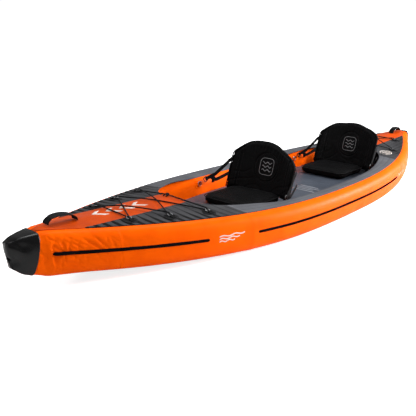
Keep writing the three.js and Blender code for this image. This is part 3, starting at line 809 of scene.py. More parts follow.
# ---- Hull ----
@dataclass
class SideChambers:
    """The two inflated side chambers, with their seams and their wrinkles near the ends."""

    around: int = 120
    tip_clearance: float = 0.030
    folds: tuple[tuple[float, float, float, float, float, float], ...] = (
        (1.889, 0.004, 1.886, -0.046, 0.007, 0.0080),
        (1.868, -0.020, 1.812, -0.038, 0.006, -0.0042),
        (1.895, 0.034, 1.856, 0.012, 0.006, 0.0065),
        (1.857, 0.052, 1.848, 0.014, 0.006, 0.0055),
        (1.815, 0.044, 1.782, 0.018, 0.005, 0.0040),
        (1.768, 0.056, 1.704, 0.012, 0.006, 0.0052),
        (1.722, 0.060, 1.676, 0.012, 0.006, 0.0045),
        (1.660, 0.058, 1.648, 0.010, 0.006, 0.0022),
        (1.800, -0.012, 1.735, -0.022, 0.006, -0.0028),
        (1.905, 0.070, 1.880, 0.052, 0.006, 0.0034),
        (1.640, -0.014, 1.560, -0.020, 0.007, -0.0016),
    )
    seam_x: float = 0.932
    seam_width: float = 0.020
    crease_depth: float = 0.0050

    def stations(self) -> Points:
        """Gives the stations along one chamber, closer towards the ends."""
        tip = LINES.half_length - self.tip_clearance
        middle = np.arange(0, 1.20, 0.022)
        fore = np.concatenate([np.arange(1.20, 1.62, 0.010), np.arange(1.62, 1.95, 0.0036)])
        end = tip - LINES.rounding * (1 - np.sin(np.linspace(0.1, math.pi / 2, 12)))
        half = np.concatenate([middle, fore, end[end > 1.955]])
        half[-1] = tip - 0.0004
        return np.concatenate([-half[:0:-1], half])

    def build(self) -> None:
        """Builds both chambers."""
        x = self.stations()[:, None]
        turn = (np.arange(self.around) + 0.5)[None, :] * 2 * math.pi / self.around
        shape = (len(x), self.around)
        cosine, sine = np.broadcast_to(np.cos(turn), shape), np.broadcast_to(np.sin(turn), shape)
        inset = LINES.tip_inset(x, LINES.half_length - self.tip_clearance)
        wide = LINES.half_width(x) - inset / 2
        centre = LINES.centre(x) - inset / 2
        half = (LINES.top(x) - LINES.bottom(x)) / 2 - inset
        middle = (LINES.top(x) + LINES.bottom(x)) / 2
        power = 2 / np.where(cosine > 0, LINES.outer_power(x), LINES.inner_power(x))
        y = centre + wide * np.sign(cosine) * np.abs(cosine) ** power
        z = middle + half * np.sign(sine) * np.abs(sine) ** power
        rings = xyz(x, y, z)
        outward = xyz(0, cosine, sine)
        outward /= np.linalg.norm(outward, axis=-1, keepdims=True)
        for side, hand in SIDES.items():
            relief, ink_and_shade = self.relief(rings, cosine, hand)
            shaped = rings + outward * relief[..., None]
            shaped[..., 1] *= hand
            if hand < 0:
                shaped = shaped[:, ::-1]
                ink_and_shade = ink_and_shade[:, ::-1]
            chamber = loft(f"{side}_chamber_skin", shaped, ORANGE)
            set_ink_and_shade(chamber, np.concatenate([ink_and_shade.ravel(), [0, 0]]))
            place(chamber, "hull", ORANGE, [f"{side}_side_chamber"])

    def relief(self, rings: Points, cosine: Points, hand: int) -> tuple[Points, Points]:
        """Gives the chamber's seams, creases and soft waves.

        Args:
            rings: The smooth chamber's points, on the port side.
            cosine: The points' place across the section, from 1 outboard to -1 inboard.
            hand: 1 on the port side and -1 on the starboard side.

        Returns:
            The height of each point above the smooth chamber, and how dark its seams are.
        """
        x, z = rings[..., 0], rings[..., 2]
        strip = (LINES.top(x) + LINES.bottom(x)) / 2 + 0.011
        outer = smooth(cosine, 0.05, 0.5)
        lean = xyz(0.82 * x + 0.57 * z, 0.3 * rings[..., 1], -0.57 * x + 0.82 * z)
        ends = smooth(np.abs(x), 1.28, 1.80) * (1 - 0.7 * smooth(np.abs(x), 1.90, 1.96))
        band_share = np.exp(-(((z - strip) / 0.062) ** 2))
        fold = ripple(lean, (0.055, 0.3, 0.024), 1.7 + hand)
        sharp = np.clip(1 - np.abs(fold) * 5.0, 0, 1) ** 1.6
        tight = ripple(rings[..., [0, 2, 1]], (0.030, 0.060, 0.2), 4.1 + hand)
        pinch = np.clip(1 - np.abs(tight) * 5.5, 0, 1) ** 1.5
        front = smooth(np.abs(x), 1.70, 1.88)
        creases = self.crease_depth * outer * ends * band_share * (0.75 * sharp + 0.9 * pinch * front)
        slack = 0.0022 * ripple(rings, (0.19, 0.19, 0.10), 2.3) * (0.35 + 0.65 * ends) * outer
        near_seam = np.abs(np.abs(x) - self.seam_x)
        lap = 0.0011 * (1 - smooth(near_seam, self.seam_width * 0.8, self.seam_width)) * outer
        tape = 0.0009 * (1 - smooth(np.abs(np.abs(x) - (LINES.cap_rim - 0.030)), 0.008, 0.011)) * outer
        line = (1 - smooth(np.abs(near_seam - self.seam_width), 0.0, 0.014)) * outer
        rise = z - strip
        for x0, rise0, x1, rise1, wide, deep in self.folds:
            along = np.array([x1 - x0, rise1 - rise0])
            share = np.clip(((np.abs(x) - x0) * along[0] + (rise - rise0) * along[1]) / (along @ along), 0, 1)
            away = np.hypot(np.abs(x) - x0 - share * along[0], rise - rise0 - share * along[1])
            creases += deep * np.exp(-((away / wide) ** 2)) * np.sin(math.pi * (0.15 + 0.7 * share)) * outer
        hidden = 0.016 * smooth(np.abs(x), 1.962, 1.985)
        return slack - creases + lap + tape - hidden, 0.3 * line


@dataclass
class Decks:
    """The decks' middle panels, their ribbed grip pads and the gunwale covers."""

    panel_half_width: float = 0.098
    pad_start: float = 0.930
    pad_tip: float = 1.745
    first_groove: float = 0.958
    groove_pitch: float = 0.0482
    groove_count: int = 13
    groove_half_width: float = 0.0105
    groove_depth: float = 0.0019
    seam: float = 0.0003

    def sheet(
        self,
        name: str,
        xs: Points,
        edges: tuple[Callable[[Points], Points], Callable[[Points], Points]],
        hand: int,
        rows: int,
        finish: Finish,
        relief: Callable[[Points, Points, Points], tuple[Points, Points]],
    ) -> Piece:
        """Makes a thin deck piece with rounded edges.

        Args:
            name: Its name.
            xs: Its stations.
            edges: Its inner and its outer edge at a station.
            hand: 1 for the port side and -1 for the starboard side.
            rows: How many strips it has across.
            finish: Its finish.
            relief: Gives the height and the painted groove shade at x, y and the share across.

        Returns:
            The piece.
        """
        x = xs[:, None]
        inner = np.linspace(0, 1, rows + 1)
        share = np.concatenate([[0, 0.3 * inner[1], *inner[1:-1], 1 - 0.3 * inner[1], 1]])[None, :]
        low, high = (hand * edge(x) for edge in edges[::hand])
        y = low + (high - low) * share
        height, ink_and_shade = relief(np.broadcast_to(x, y.shape), y, np.broadcast_to(share, y.shape))
        rim = np.zeros_like(y)
        rim[:, [0, -1]] = 0.0011
        rim[[0, -1], :] = 0.0011
        top = LINES.deck_top(x, y) + height - rim
        upper = xyz(x, y, top)
        lower = xyz(x, y, LINES.deck_base(x, y) + LINES.deck_lift)
        count, columns = y.shape
        faces = grid_faces(count, columns, False, 0, True)
        start = count * columns
        faces += grid_faces(count, columns, False, start)
        for i in range(count - 1):
            a, b = i * columns, (i + 1) * columns
            faces.append([a, b, b + start, a + start])
            c, d = a + columns - 1, b + columns - 1
            faces.append([d, c, c + start, d + start])
        last = (count - 1) * columns
        for j in range(columns - 1):
            faces.append([j + 1, j, j + start, j + 1 + start])
            faces.append([last + j, last + j + 1, last + j + 1 + start, last + j + start])
        piece = mesh_object(name, np.vstack([upper.reshape(-1, 3), lower.reshape(-1, 3)]), faces, finish)
        set_ink_and_shade(piece, np.concatenate([ink_and_shade.ravel(), np.zeros(count * columns)]))
        return piece

    def panel_relief(self, x: Points, y: Points, share: Points) -> tuple[Points, Points]:
        """Gives a middle panel's soft waves."""
        spot = xyz(x, y, 0)
        sunk = smooth(np.abs(2 * share - 1), 0.70, 1.0) * smooth(np.abs(x), self.pad_tip - 0.06, self.pad_tip)
        return 0.0011 * ripple(spot, (0.16, 0.09, 1), 3.3) - 0.0036 * sunk, 0 * x

    def pad_relief(self, x: Points, y: Points, share: Points) -> tuple[Points, Points]:
        """Gives a grip pad's grooves, deepest at the outer edge, darkened there with painted shade that fades
        inboard.
        """
        place_in_row = (np.abs(x) - self.first_groove) / self.groove_pitch
        nearest = np.clip(np.round(place_in_row), 0, self.groove_count + 3)
        away = np.abs(place_in_row - nearest) * self.groove_pitch
        outer = np.where(y > 0, share, 1 - share)
        inward = LINES.deck_edge(x) - np.abs(y)
        wide = self.groove_half_width * (1 - 0.75 * smooth(inward, 0.015, 0.16))
        groove = 1 - smooth(away, wide * 0.75, wide * 1.3)
        fading = 0.30 + 0.70 * smooth(np.abs(x), 1.02, 1.12)
        rim = smooth(outer, 0.0, 0.03)
        # Painted shade in the grooves: darkest near the outer edge, weaker inboard and on the rows nearest
        # the cockpit.
        ink_and_shade = groove * fading * (1 - 0.5 * smooth(inward, 0.04, 0.18)) * rim
        return -self.groove_depth * groove * rim, ink_and_shade

    def cover_relief(self, x: Points, y: Points, share: Points) -> tuple[Points, Points]:
        """Gives a gunwale cover's two lengthwise welts, pressed in and darkened with painted shade."""
        outer = np.where(y > 0, share, 1 - share)
        line = sum(1 - smooth(np.abs(outer - at), 0.010, 0.045) for at in (0.30, 0.66))
        # Painted shade along the pressed welts.
        return -0.0009 * line, 0.35 * line

    def build(self) -> None:
        """Builds both decks and both covers."""
        length = LINES.cockpit_half_length
        edge, opening = LINES.deck_edge, LINES.cockpit_edge
        half = lambda x: np.minimum(self.panel_half_width, edge(x))
        inner = lambda x: np.maximum(self.panel_half_width + self.seam, opening(x))
        outer = lambda x: np.maximum(edge(x), inner(x) + 0.001)
        across = {"panel": (lambda x: -half(x), half), "pad": (inner, outer), "cover": (opening, edge)}
        for end, sign in ENDS.items():
            xs = np.concatenate([np.arange(length, LINES.cap_rim - 0.006, 0.009), [LINES.cap_rim - 0.006]])
            xs = sign * xs[::sign]
            panel = self.sheet(f"{end}_deck_skin", xs, across["panel"], 1, 26, DECK_ORANGE, self.panel_relief)
            place(panel, "hull", DECK_ORANGE, [f"{end}_deck_panel"])
            for side, hand in SIDES.items():
                xs = np.concatenate([np.arange(self.pad_start + self.seam, 1.730, 0.0022), [1.730]])
                xs = sign * xs[::sign]
                pad = self.sheet(f"{end}_pad_{side}", xs, across["pad"], hand, 34, PAD_GREY, self.pad_relief)
                place(pad, "hull", PAD_GREY, [f"{end}_grip_pad_{side}"])
        for side, hand in SIDES.items():
            xs = np.linspace(-self.pad_start, self.pad_start, 150)
            name = f"gunwale_skin_{side}"
            cover = self.sheet(name, xs, across["cover"], hand, 30, COVER_GREY, self.cover_relief)
            place(cover, "hull", COVER_GREY, [f"gunwale_cover_{side}"])


@dataclass
class EndCaps:
    """The black caps over the bow and the stern, with the dents of soft moulded fabric."""

    clearance: float = 0.001
    rows: int = 46
    around: int = 26
    bluntness: float = 0.42
    nose_rise: float = 0.022
    nose_rake: float = 0.016
    creases: tuple[tuple[tuple[float, ...], tuple[float, ...], float, float], ...] = (
        ((2.040, 0.030, 0.266), (1.975, 0.082, 0.236), 0.016, 0.0085),
        ((2.046, 0.032, 0.236), (1.990, 0.080, 0.196), 0.012, -0.0055),
        ((1.990, 0.080, 0.196), (1.996, 0.074, 0.150), 0.014, -0.0040),
        ((2.044, -0.026, 0.250), (1.985, -0.078, 0.205), 0.016, 0.0060),
    )
    dents: tuple[tuple[float, float, float, float, float], ...] = (
        (2.040, 0.046, 0.172, 0.036, 0.0150),
        (2.056, 0.004, 0.165, 0.034, 0.0120),
        (2.012, 0.060, 0.232, 0.022, 0.0060),
        (2.040, -0.040, 0.180, 0.040, 0.0110),
        (1.985, 0.0, 0.268, 0.030, 0.0050),
        (1.985, 0.066, 0.120, 0.030, 0.0050),
    )

    def ring(self, along: float, offset: float) -> Points:
        """Gives one ring of a cap.

        Args:
            along: Its place, from 0 at the rim to 1 at the tip.
            offset: How far it lies outside the chambers.

        Returns:
            Its points.
        """
        tip = LINES.half_length - self.clearance - LINES.skin + offset
        degrees = np.linspace(-89.9, 89.9, self.around)
        rows = []
        for hand in (1, -1):
            turn = np.radians(hand * degrees)
            level = np.full_like(turn, LINES.cap_rim + (tip - LINES.cap_rim) * along)
            drop = LINES.top(LINES.cap_rim) - self.point(level, hand, turn, offset, tip)[:, 2]
            raked = level + LINES.cap_rake * drop * (1 - along) ** 2
            rows.append(self.point(raked, hand, turn, offset, tip))
        return np.vstack(rows)

    def point(self, x: Points, hand: int, turn: Points, offset: float, tip: float) -> Points:
        """Gives points of the section at x, at turns round one chamber."""
        inset = LINES.tip_inset(x, tip)
        wide = LINES.half_width(x) + offset - inset
        top = LINES.top(x) + self.nose_rise * LINES.nose(x)
        half = (top - LINES.bottom(x)) / 2 + offset - inset * self.bluntness
        middle = (top + LINES.bottom(x)) / 2
        power = 2 / LINES.outer_power(x)
        y = LINES.centre(x) + wide * np.cos(turn) ** power
        z = middle + half * np.sign(turn) * np.abs(np.sin(turn)) ** power
        return xyz(x, hand * y, z)

    def build(self) -> None:
        """Builds both caps."""
        shares = 1 - (1 - np.linspace(0, 0.985, self.rows)) ** 1.35
        outer = np.array([self.ring(t, self.clearance + LINES.skin) for t in shares])
        middle = np.array([2.0, 0.0, 0.18])
        outward = outer - middle
        outward /= np.linalg.norm(outward, axis=-1, keepdims=True)
        press = np.zeros(outer.shape[:2])
        for *spot, radius, depth in self.dents:
            away = np.linalg.norm(outer - np.array(spot), axis=-1)
            press += depth * np.exp(-((away / radius) ** 2))
        fade = smooth(shares, 0.04, 0.3)[:, None]
        for start, end, wide, depth in self.creases:
            along = np.array(end) - np.array(start)
            share = np.clip((outer - np.array(start)) @ along / (along @ along), 0, 1)
            away = np.linalg.norm(outer - np.array(start) - share[..., None] * along, axis=-1)
            press += depth * np.exp(-((away / wide) ** 2))
        press += 0.0016 * ripple(outer, (0.05, 0.05, 0.05), 5.2)
        shaped = outer - outward * (press * fade)[..., None]
        low = smooth(0.205 - shaped[..., 2], 0, 0.09)
        shaped[..., 0] -= self.nose_rake * low * smooth(shaped[..., 0], 1.99, 2.05)
        inner = np.array([self.ring(t, self.clearance + 0.0004) for t in shares[:6]])
        rim = self.ring(0.0, self.clearance + LINES.skin * 0.55)
        rim[:, 0] -= 0.0012
        for end, sign in ENDS.items():
            rings = np.concatenate([shaped[::-1], rim[None], inner])
            rings[..., 0] *= sign
            if sign > 0:
                rings = rings[:, ::-1]
            nose = (sign * (LINES.half_length - 0.0012), 0, rings[0, :, 2].mean())
            cap = loft(f"{end}_cap_skin", rings, CAP_BLACK, np.array([nose, rings[-1].mean(0)]))
            place(cap, "hull", CAP_BLACK, [f"{end}_cap"])


@dataclass
class RubStrips:
    """The black rubbing strips along the sides."""

    half_width: float = 0.0085
    depth: float = 0.004
    runs: dict[str, tuple[float, float]] = field(
        default_factory=lambda: {"fore": (1.202, 1.898), "aft": (-0.800, 0.911)}
    )

    def build(self) -> None:
        """Builds all four strips."""
        turns = np.radians(np.linspace(-90, 90, 9))
        for run, (start, end) in self.runs.items():
            xs = np.linspace(start, end, 150)
            near = np.minimum(xs - start, end - xs)
            taper = np.sqrt(np.clip(near / 0.010, 0.02, 1))
            height = (LINES.top(xs) + LINES.bottom(xs)) / 2 + 0.011
            face = LINES.half_beam(xs) - 0.0015
            for side, hand in SIDES.items():
                y = face[:, None] + (self.depth + 0.002) * taper[:, None] * np.cos(turns)[None]
                z = height[:, None] + self.half_width * taper[:, None] * np.sin(turns)[None]
                rings = xyz(xs[:, None], hand * y, z)
                strip = loft(f"{run}_strip_{side}", rings if hand > 0 else rings[:, ::-1], STRIP_BLACK)
                place(strip, "hull", STRIP_BLACK, [f"{run}_rub_strip_{side}"])


# ---- Places and marks on a surface ----
@dataclass(frozen=True)
class Place:
    """A frame on a surface: its origin, and its axes as rows, the last one pointing out."""

    origin: Points
    axes: Points

    def world(self, local: Sequence[float] | Points) -> Points:
        """Turns points in this frame into points in the row frame."""
        return self.origin + np.asarray(local, float) @ self.axes

    def local(self, point: Sequence[float] | Points) -> Points:
        """Turns points in the row frame into points in this frame."""
        return (np.asarray(point, float) - self.origin) @ self.axes.T

    def move(self, piece: Piece) -> Piece:
        """Moves a piece's points from this frame to the row frame."""
        matrix = np.eye(4)
        matrix[:3, :3] = self.axes.T
        matrix[:3, 3] = self.origin
        piece.data.transform(Matrix(matrix.tolist()))
        return piece


def unit(vector: Sequence[float]) -> Points:
    """Gives a vector of length 1."""
    vector = np.asarray(vector, float)
    return vector / np.linalg.norm(vector)


def on_deck(x: float, y: float, reach: float = 0.037) -> Place:
    """Gives the place of a flat patch that rests on the deck, with its second axis pointing outboard."""
    hand = math.copysign(1, y)
    slope_x = (LINES.deck_top(x + reach, y) - LINES.deck_top(x - reach, y)) / (2 * reach)
    slope_y = (LINES.deck_top(x, y + reach) - LINES.deck_top(x, y - reach)) / (2 * reach)
    turn = np.radians(np.arange(0, 360, 30))
    u, v = reach * np.cos(turn), reach * np.sin(turn)
    rim = LINES.deck_top(x + u, y + v) - slope_x * u - slope_y * v
    up = unit((-slope_x, -slope_y, 1))
    outboard = unit((0, hand, hand * slope_y))
    along = unit(np.cross(outboard, up))
    return Place(np.array([x, y, rim.max() + 0.0003]), np.array([along, outboard, up]))


def on_wall(x: float, z: float, hand: int, lift: float) -> Place:
    """Gives a place on a side chamber's inner wall, with its last axis pointing into the cockpit."""
    reach = 0.005
    slope_x = (LINES.inner_wall(x + reach, z) - LINES.inner_wall(x - reach, z)) / (2 * reach)
    slope_z = (LINES.inner_wall(x, z + reach) - LINES.inner_wall(x, z - reach)) / (2 * reach)
    inward = unit((slope_x, -hand, slope_z))
    along = unit(np.array([1, 0, 0]) - inward * inward[0])
    axes = np.array([along, np.cross(inward, along), inward])
    return Place(np.array([x, hand * LINES.inner_wall(x, z), z]) + lift * inward, axes)


class Drape:
    """Lays thin marks on finished surfaces, by dropping their points along a direction."""

    def __init__(self, pieces: Sequence[Piece], direction: Sequence[float]) -> None:
        """Takes the surfaces and the direction that the marks drop in.

        Args:
            pieces: The surfaces' objects.
            direction: The direction, from outside towards them.
        """
        points, faces = [], []
        for piece in pieces:
            start = len(points)
            points += [piece.matrix_world @ v.co for v in piece.data.vertices]
            faces += [[start + i for i in p.vertices] for p in piece.data.polygons]
        self.tree = BVHTree.FromPolygons(points, faces)
        self.direction = Vector(direction).normalized()

    def drop(self, point: Sequence[float]) -> tuple[Points, Points] | None:
        """Drops one point on the surface.

        Args:
            point: A point near the surface.

        Returns:
            The point on the surface and the surface's normal there, or None beside it.
        """
        start = Vector(point) - self.direction * 0.25
        hit, normal, _, _ = self.tree.ray_cast(start, self.direction, 0.6)
        if hit is None:
            return None
        if normal.dot(self.direction) > 0:
            normal = -normal
        return np.array(hit), np.array(normal)

    def ribbon(
        self, name: str, path: Points, across: Points, width: float, finish: Finish, lift: float = 0.0006
    ) -> Piece | None:
        """Lays a thin band on the surface.

        Args:
            name: Its name.
            path: The points down its middle.
            across: The direction across it at each point.
            width: Its width.
            finish: Its finish.
            lift: Its thickness.

        Returns:
            The band, or None where it misses the surface.
        """
        rows = []
        for point, side in zip(path, np.broadcast_to(across, path.shape)):
            row = []
            for share in (-0.5, -0.25, 0, 0.25, 0.5):
                found = self.drop(point + side * width * share)
                if found is None:
                    return None
                row.append((found[0], found[1]))
            rows.append(row)
        upper = np.array([[hit + n * lift for hit, n in row] for row in rows])
        lower = np.array([[hit - n * 0.0004 for hit, n in row[::-1]] for row in rows])
        rings = np.concatenate([upper, lower], 1)
        return loft(name, rings, finish)


def stitches(name: str, path: Points, normal: Sequence[float] | Points, pitch: float = 0.0042) -> Piece:
    """Makes a row of stitches along a path.

    Args:
        name: Its name.
        path: The path on the surface.
        normal: The surface's normal, one for all or one at each point.
        pitch: The distance from stitch to stitch.

    Returns:
        The stitches, as one object.
    """
    radius = 0.00045
    lengths = np.concatenate([[0], np.cumsum(np.linalg.norm(np.diff(path, axis=0), axis=1))])
    normals = np.broadcast_to(np.asarray(normal, float), path.shape)
    points, faces = [], []
    count = max(1, int(lengths[-1] / pitch))
    for i in range(count):
        middle = (i + 0.5) * lengths[-1] / count
        spot = np.array([np.interp(middle, lengths, path[:, k]) for k in range(3)])
        ahead = np.array([np.interp(middle + 1e-4, lengths, path[:, k]) for k in range(3)])
        up = unit([np.interp(middle, lengths, normals[:, k]) for k in range(3)])
        along = unit(ahead - spot + 1e-9)
        side = np.cross(up, along)
        start = len(points)
        for share, thick in ((-0.38, 0.35), (-0.2, 1.0), (0.2, 1.0), (0.38, 0.35)):
            middle_point = spot + along * share * pitch + up * radius * (0.2 + 0.5 * thick)
            for turn in np.radians((0, 60, 120, 180, 240, 300)):
                ring = math.cos(turn) * side + math.sin(turn) * up
                points.append(middle_point + ring * radius * thick)
        faces += grid_faces(4, 6, True, start)
        faces.append([start + k for k in range(5, -1, -1)])
        faces.append([start + 18 + k for k in range(6)])
    return mesh_object(name, np.array(points), faces, THREAD)


# ---- Fittings ----
@dataclass
class CarryHandles:
    """The webbing carry handles on the bow and the stern, each with a padded grip."""

    middle: float = 1.788
    half_span: float = 0.076
    rise: float = 0.038
    half_width: float = 0.023
    thickness: float = 0.0034
    slope: float = 0.085
    ribs: int = 9

    def arch(self, degrees: Points) -> Points:
        """Gives points of the bow handle's arch, at angles from its bow foot."""
        turn = np.radians(degrees)
        x = self.middle - self.half_span * np.cos(turn)
        base = float(LINES.deck_top(self.middle, 0.0)) + 0.003
        z = base + self.slope * (x - self.middle) + self.rise * np.sin(turn) ** 0.85 - 0.0015
        return xyz(x, 0, z)

    def strap_path(self) -> Points:
        """Gives the strap's path from foot to foot."""
        return rounded_path(self.arch(np.linspace(3, 177, 29)), 0.004)

    def build(self) -> None:
        """Builds both handles."""
        for end, sign in ENDS.items():
            mirror = np.array([sign, 1, 1])
            path = self.strap_path() * mirror
            outward = path - np.array([sign * self.middle, 0, path[:, 2].min() - 0.03])
            strap = band(f"{end}_handle_webbing", path, outward, 2 * self.half_width, self.thickness, WEBBING)
            rows = []
            for share in (-0.74, 0.74):
                for part in (path[1:9], path[-9:-1]):
                    spot = part + np.array([0, share * self.half_width, self.thickness * 0.62])
                    rows.append(stitches(f"{end}_handle_stitch", spot, (0, 0, 1)))
            place(strap, "hull", WEBBING, [f"{end}_handle_strap"])
            place(joined(f"{end}_handle_stitching", rows), "hull", WEBBING)
            self.grip(end, mirror)

    def grip(self, end: str, mirror: Points) -> None:
        """Builds one padded grip sleeve with raised ribs."""
        degrees = np.linspace(48, 138, 61)
        path = self.arch(degrees)
        share = np.abs(np.linspace(-1, 1, len(path)))
        end_round = np.sqrt(np.clip(1 - share**14, 0.06, 1))
        rib = 1 + 0.045 * np.cos(np.linspace(0, 2 * math.pi * self.ribs, len(path)))
        turns = circle(28)
        rings = []
        for i, spot in enumerate(path):
            turn = math.radians(degrees[i])
            up = np.array([-math.cos(turn), 0, math.sin(turn)])
            wide = 0.0245 * end_round[i]
            thick = 0.0056 * end_round[i] * rib[i]
            u = np.sign(np.cos(turns)) * np.abs(np.cos(turns)) ** 0.6
            v = np.sign(np.sin(turns)) * np.abs(np.sin(turns)) ** 0.8
            rings.append((spot + np.outer(u * wide, (0, 1, 0)) + np.outer(v * thick, up)) * mirror)
        rings = np.array(rings)
        sleeve = loft(f"{end}_grip_sleeve", rings[:, ::-1] if mirror[0] > 0 else rings, SEAT_SIDE)
        place(sleeve, "hull", SEAT_SIDE, [f"{end}_handle_grip"])


@dataclass
class CordAnchors:
    """The cord anchors: a round patch, a webbing tab sewn to it and a steel ring."""

    patch: float = 0.037
    tab: float = 0.014
    ring: float = 0.012
    wire: float = 0.002
    tilt: float = 0.3
    ring_y: float = -0.010
    ring_z: float = 0.009
    places: dict[str, tuple[tuple[float, float], ...]] = field(
        default_factory=lambda: {
            "bow": ((1.506, 0.139), (1.309, 0.211), (1.100, 0.270)),
            "stern": ((-1.497, 0.135), (-1.168, 0.258)),
        }
    )

    def disc(self, name: str, spot: Place) -> Piece:
        """Makes a patch that follows the deck, with a bevelled rim and a raised middle."""
        shares = np.array([0.0, 0.18, 0.36, 0.52, 0.60, 0.66, 0.80, 0.90, 0.965, 1.0, 1.0])
        heights = np.array([3.4, 3.4, 3.3, 3.2, 2.9, 2.1, 1.9, 1.9, 1.6, 0.9, -0.6]) * 0.001
        turns = circle(48)
        rings = []
        for share, height in zip(shares, heights):
            flat = xyz(np.cos(turns), np.sin(turns), 0) * self.patch * max(share, 0.02)
            world = spot.world(flat)
            base = LINES.deck_top(world[:, 0], world[:, 1])
            world[:, 2] = base + height
            rings.append(world)
        return loft(name, np.array(rings)[::-1], PATCH_BLACK)

    def build(self) -> None:
        """Builds all ten anchors."""
        for end, places in self.places.items():
            for side, hand in SIDES.items():
                for i, (x, y) in enumerate(places):
                    self.anchor(f"{end}_cord_anchor_{side}_{i + 1}", on_deck(x, hand * y))

    def anchor(self, node: str, spot: Place) -> None:
        """Builds one anchor.

        Args:
            node: The CAD node that it stands for.
            spot: Its place on the deck.
        """
        patch = self.disc(node.replace("anchor", "patch"), spot)
        wire_y = self.ring_y + self.ring * math.cos(self.tilt)
        wire_z = self.ring_z - self.ring * math.sin(self.tilt)
        turns = np.radians(np.linspace(80, -100, 9))
        around = list(xyz(0, wire_y - 0.0032 * np.sin(turns + 0.4), wire_z + 0.0032 * np.cos(turns + 0.4)))
        top = [(0, 0.024, 0.0030), (0, 0.015, 0.0042), (0, 0.007, wire_z + 0.0036)]
        low = [(0, 0.006, 0.0034), (0, 0.014, 0.0026)]
        path = rounded_path(spot.world(np.array(top + around[2:8] + low)), 0.0016)
        outward = path - spot.world((0, wire_y + 0.010, wire_z - 0.001))
        tab = band(f"{node}_tab", path, outward, 2 * self.tab, 0.0016, WEBBING)
        rows = []
        for share in (-0.7, 0.7):
            line = spot.world(np.array([[share * self.tab, y, 0.0052] for y in np.linspace(0.009, 0.021, 4)]))
            rows.append(stitches(f"{node}_stitch", line, spot.axes[2], 0.003))
        line = spot.world(np.array([[u * self.tab, 0.021, 0.0044] for u in np.linspace(-0.7, 0.7, 6)]))
        rows.append(stitches(f"{node}_stitch", line, spot.axes[2], 0.003))
        loop = circle(40)
        flatter = np.where(np.sin(loop) > 0, 0.86, 1.0)
        u = self.ring * squared(loop, 0.8)[0]
        v = self.ring * np.sin(loop) * flatter
        shape = xyz(u, self.ring_y + v * math.cos(self.tilt), self.ring_z - v * math.sin(self.tilt))
        name = node.replace("anchor", "ring")
        ring = tube(name, spot.world(shape), self.wire, STEEL, 12, True, spot.axes[2])
        place(patch, "hull", PATCH_BLACK, [node])
        place(joined(f"{node}_webbing", [tab]), "hull", WEBBING)
        place(joined(f"{node}_stitching", rows), "hull", WEBBING)
        place(ring, "hull", STEEL)

    def leg(self, spot: Place, other: Spot) -> float:
        """Gives how far along the ring a cord's leg leans towards another point."""
        toward = spot.local((*other, 0))
        return float(np.clip(toward[0] / abs(toward[1]), -1, 1) * 0.016)

    def turn(self, at: Spot, before: Spot, after: Spot, radius: float) -> Points:
        """Gives a cord's turn through a ring, from the leg above it to the leg below."""
        spot = on_deck(*at)
        bend = self.wire + radius + 0.0006
        wire_y = self.ring_y - self.ring * math.cos(self.tilt)
        wire_z = self.ring_z + self.ring * math.sin(self.tilt)
        come, go = self.leg(spot, before), self.leg(spot, after)
        points = [(come, wire_y - 0.016, wire_z + bend - 0.001)]
        for degrees in (90, 45, 0, -45, -90):
            turn = math.radians(degrees)
            drift = degrees / 90 * (come - go) * 0.15
            points.append((drift, wire_y + bend * math.cos(turn), wire_z + bend * math.sin(turn)))
        points.append((go, wire_y - 0.016, wire_z - bend + 0.002))
        return spot.world(np.array(points))


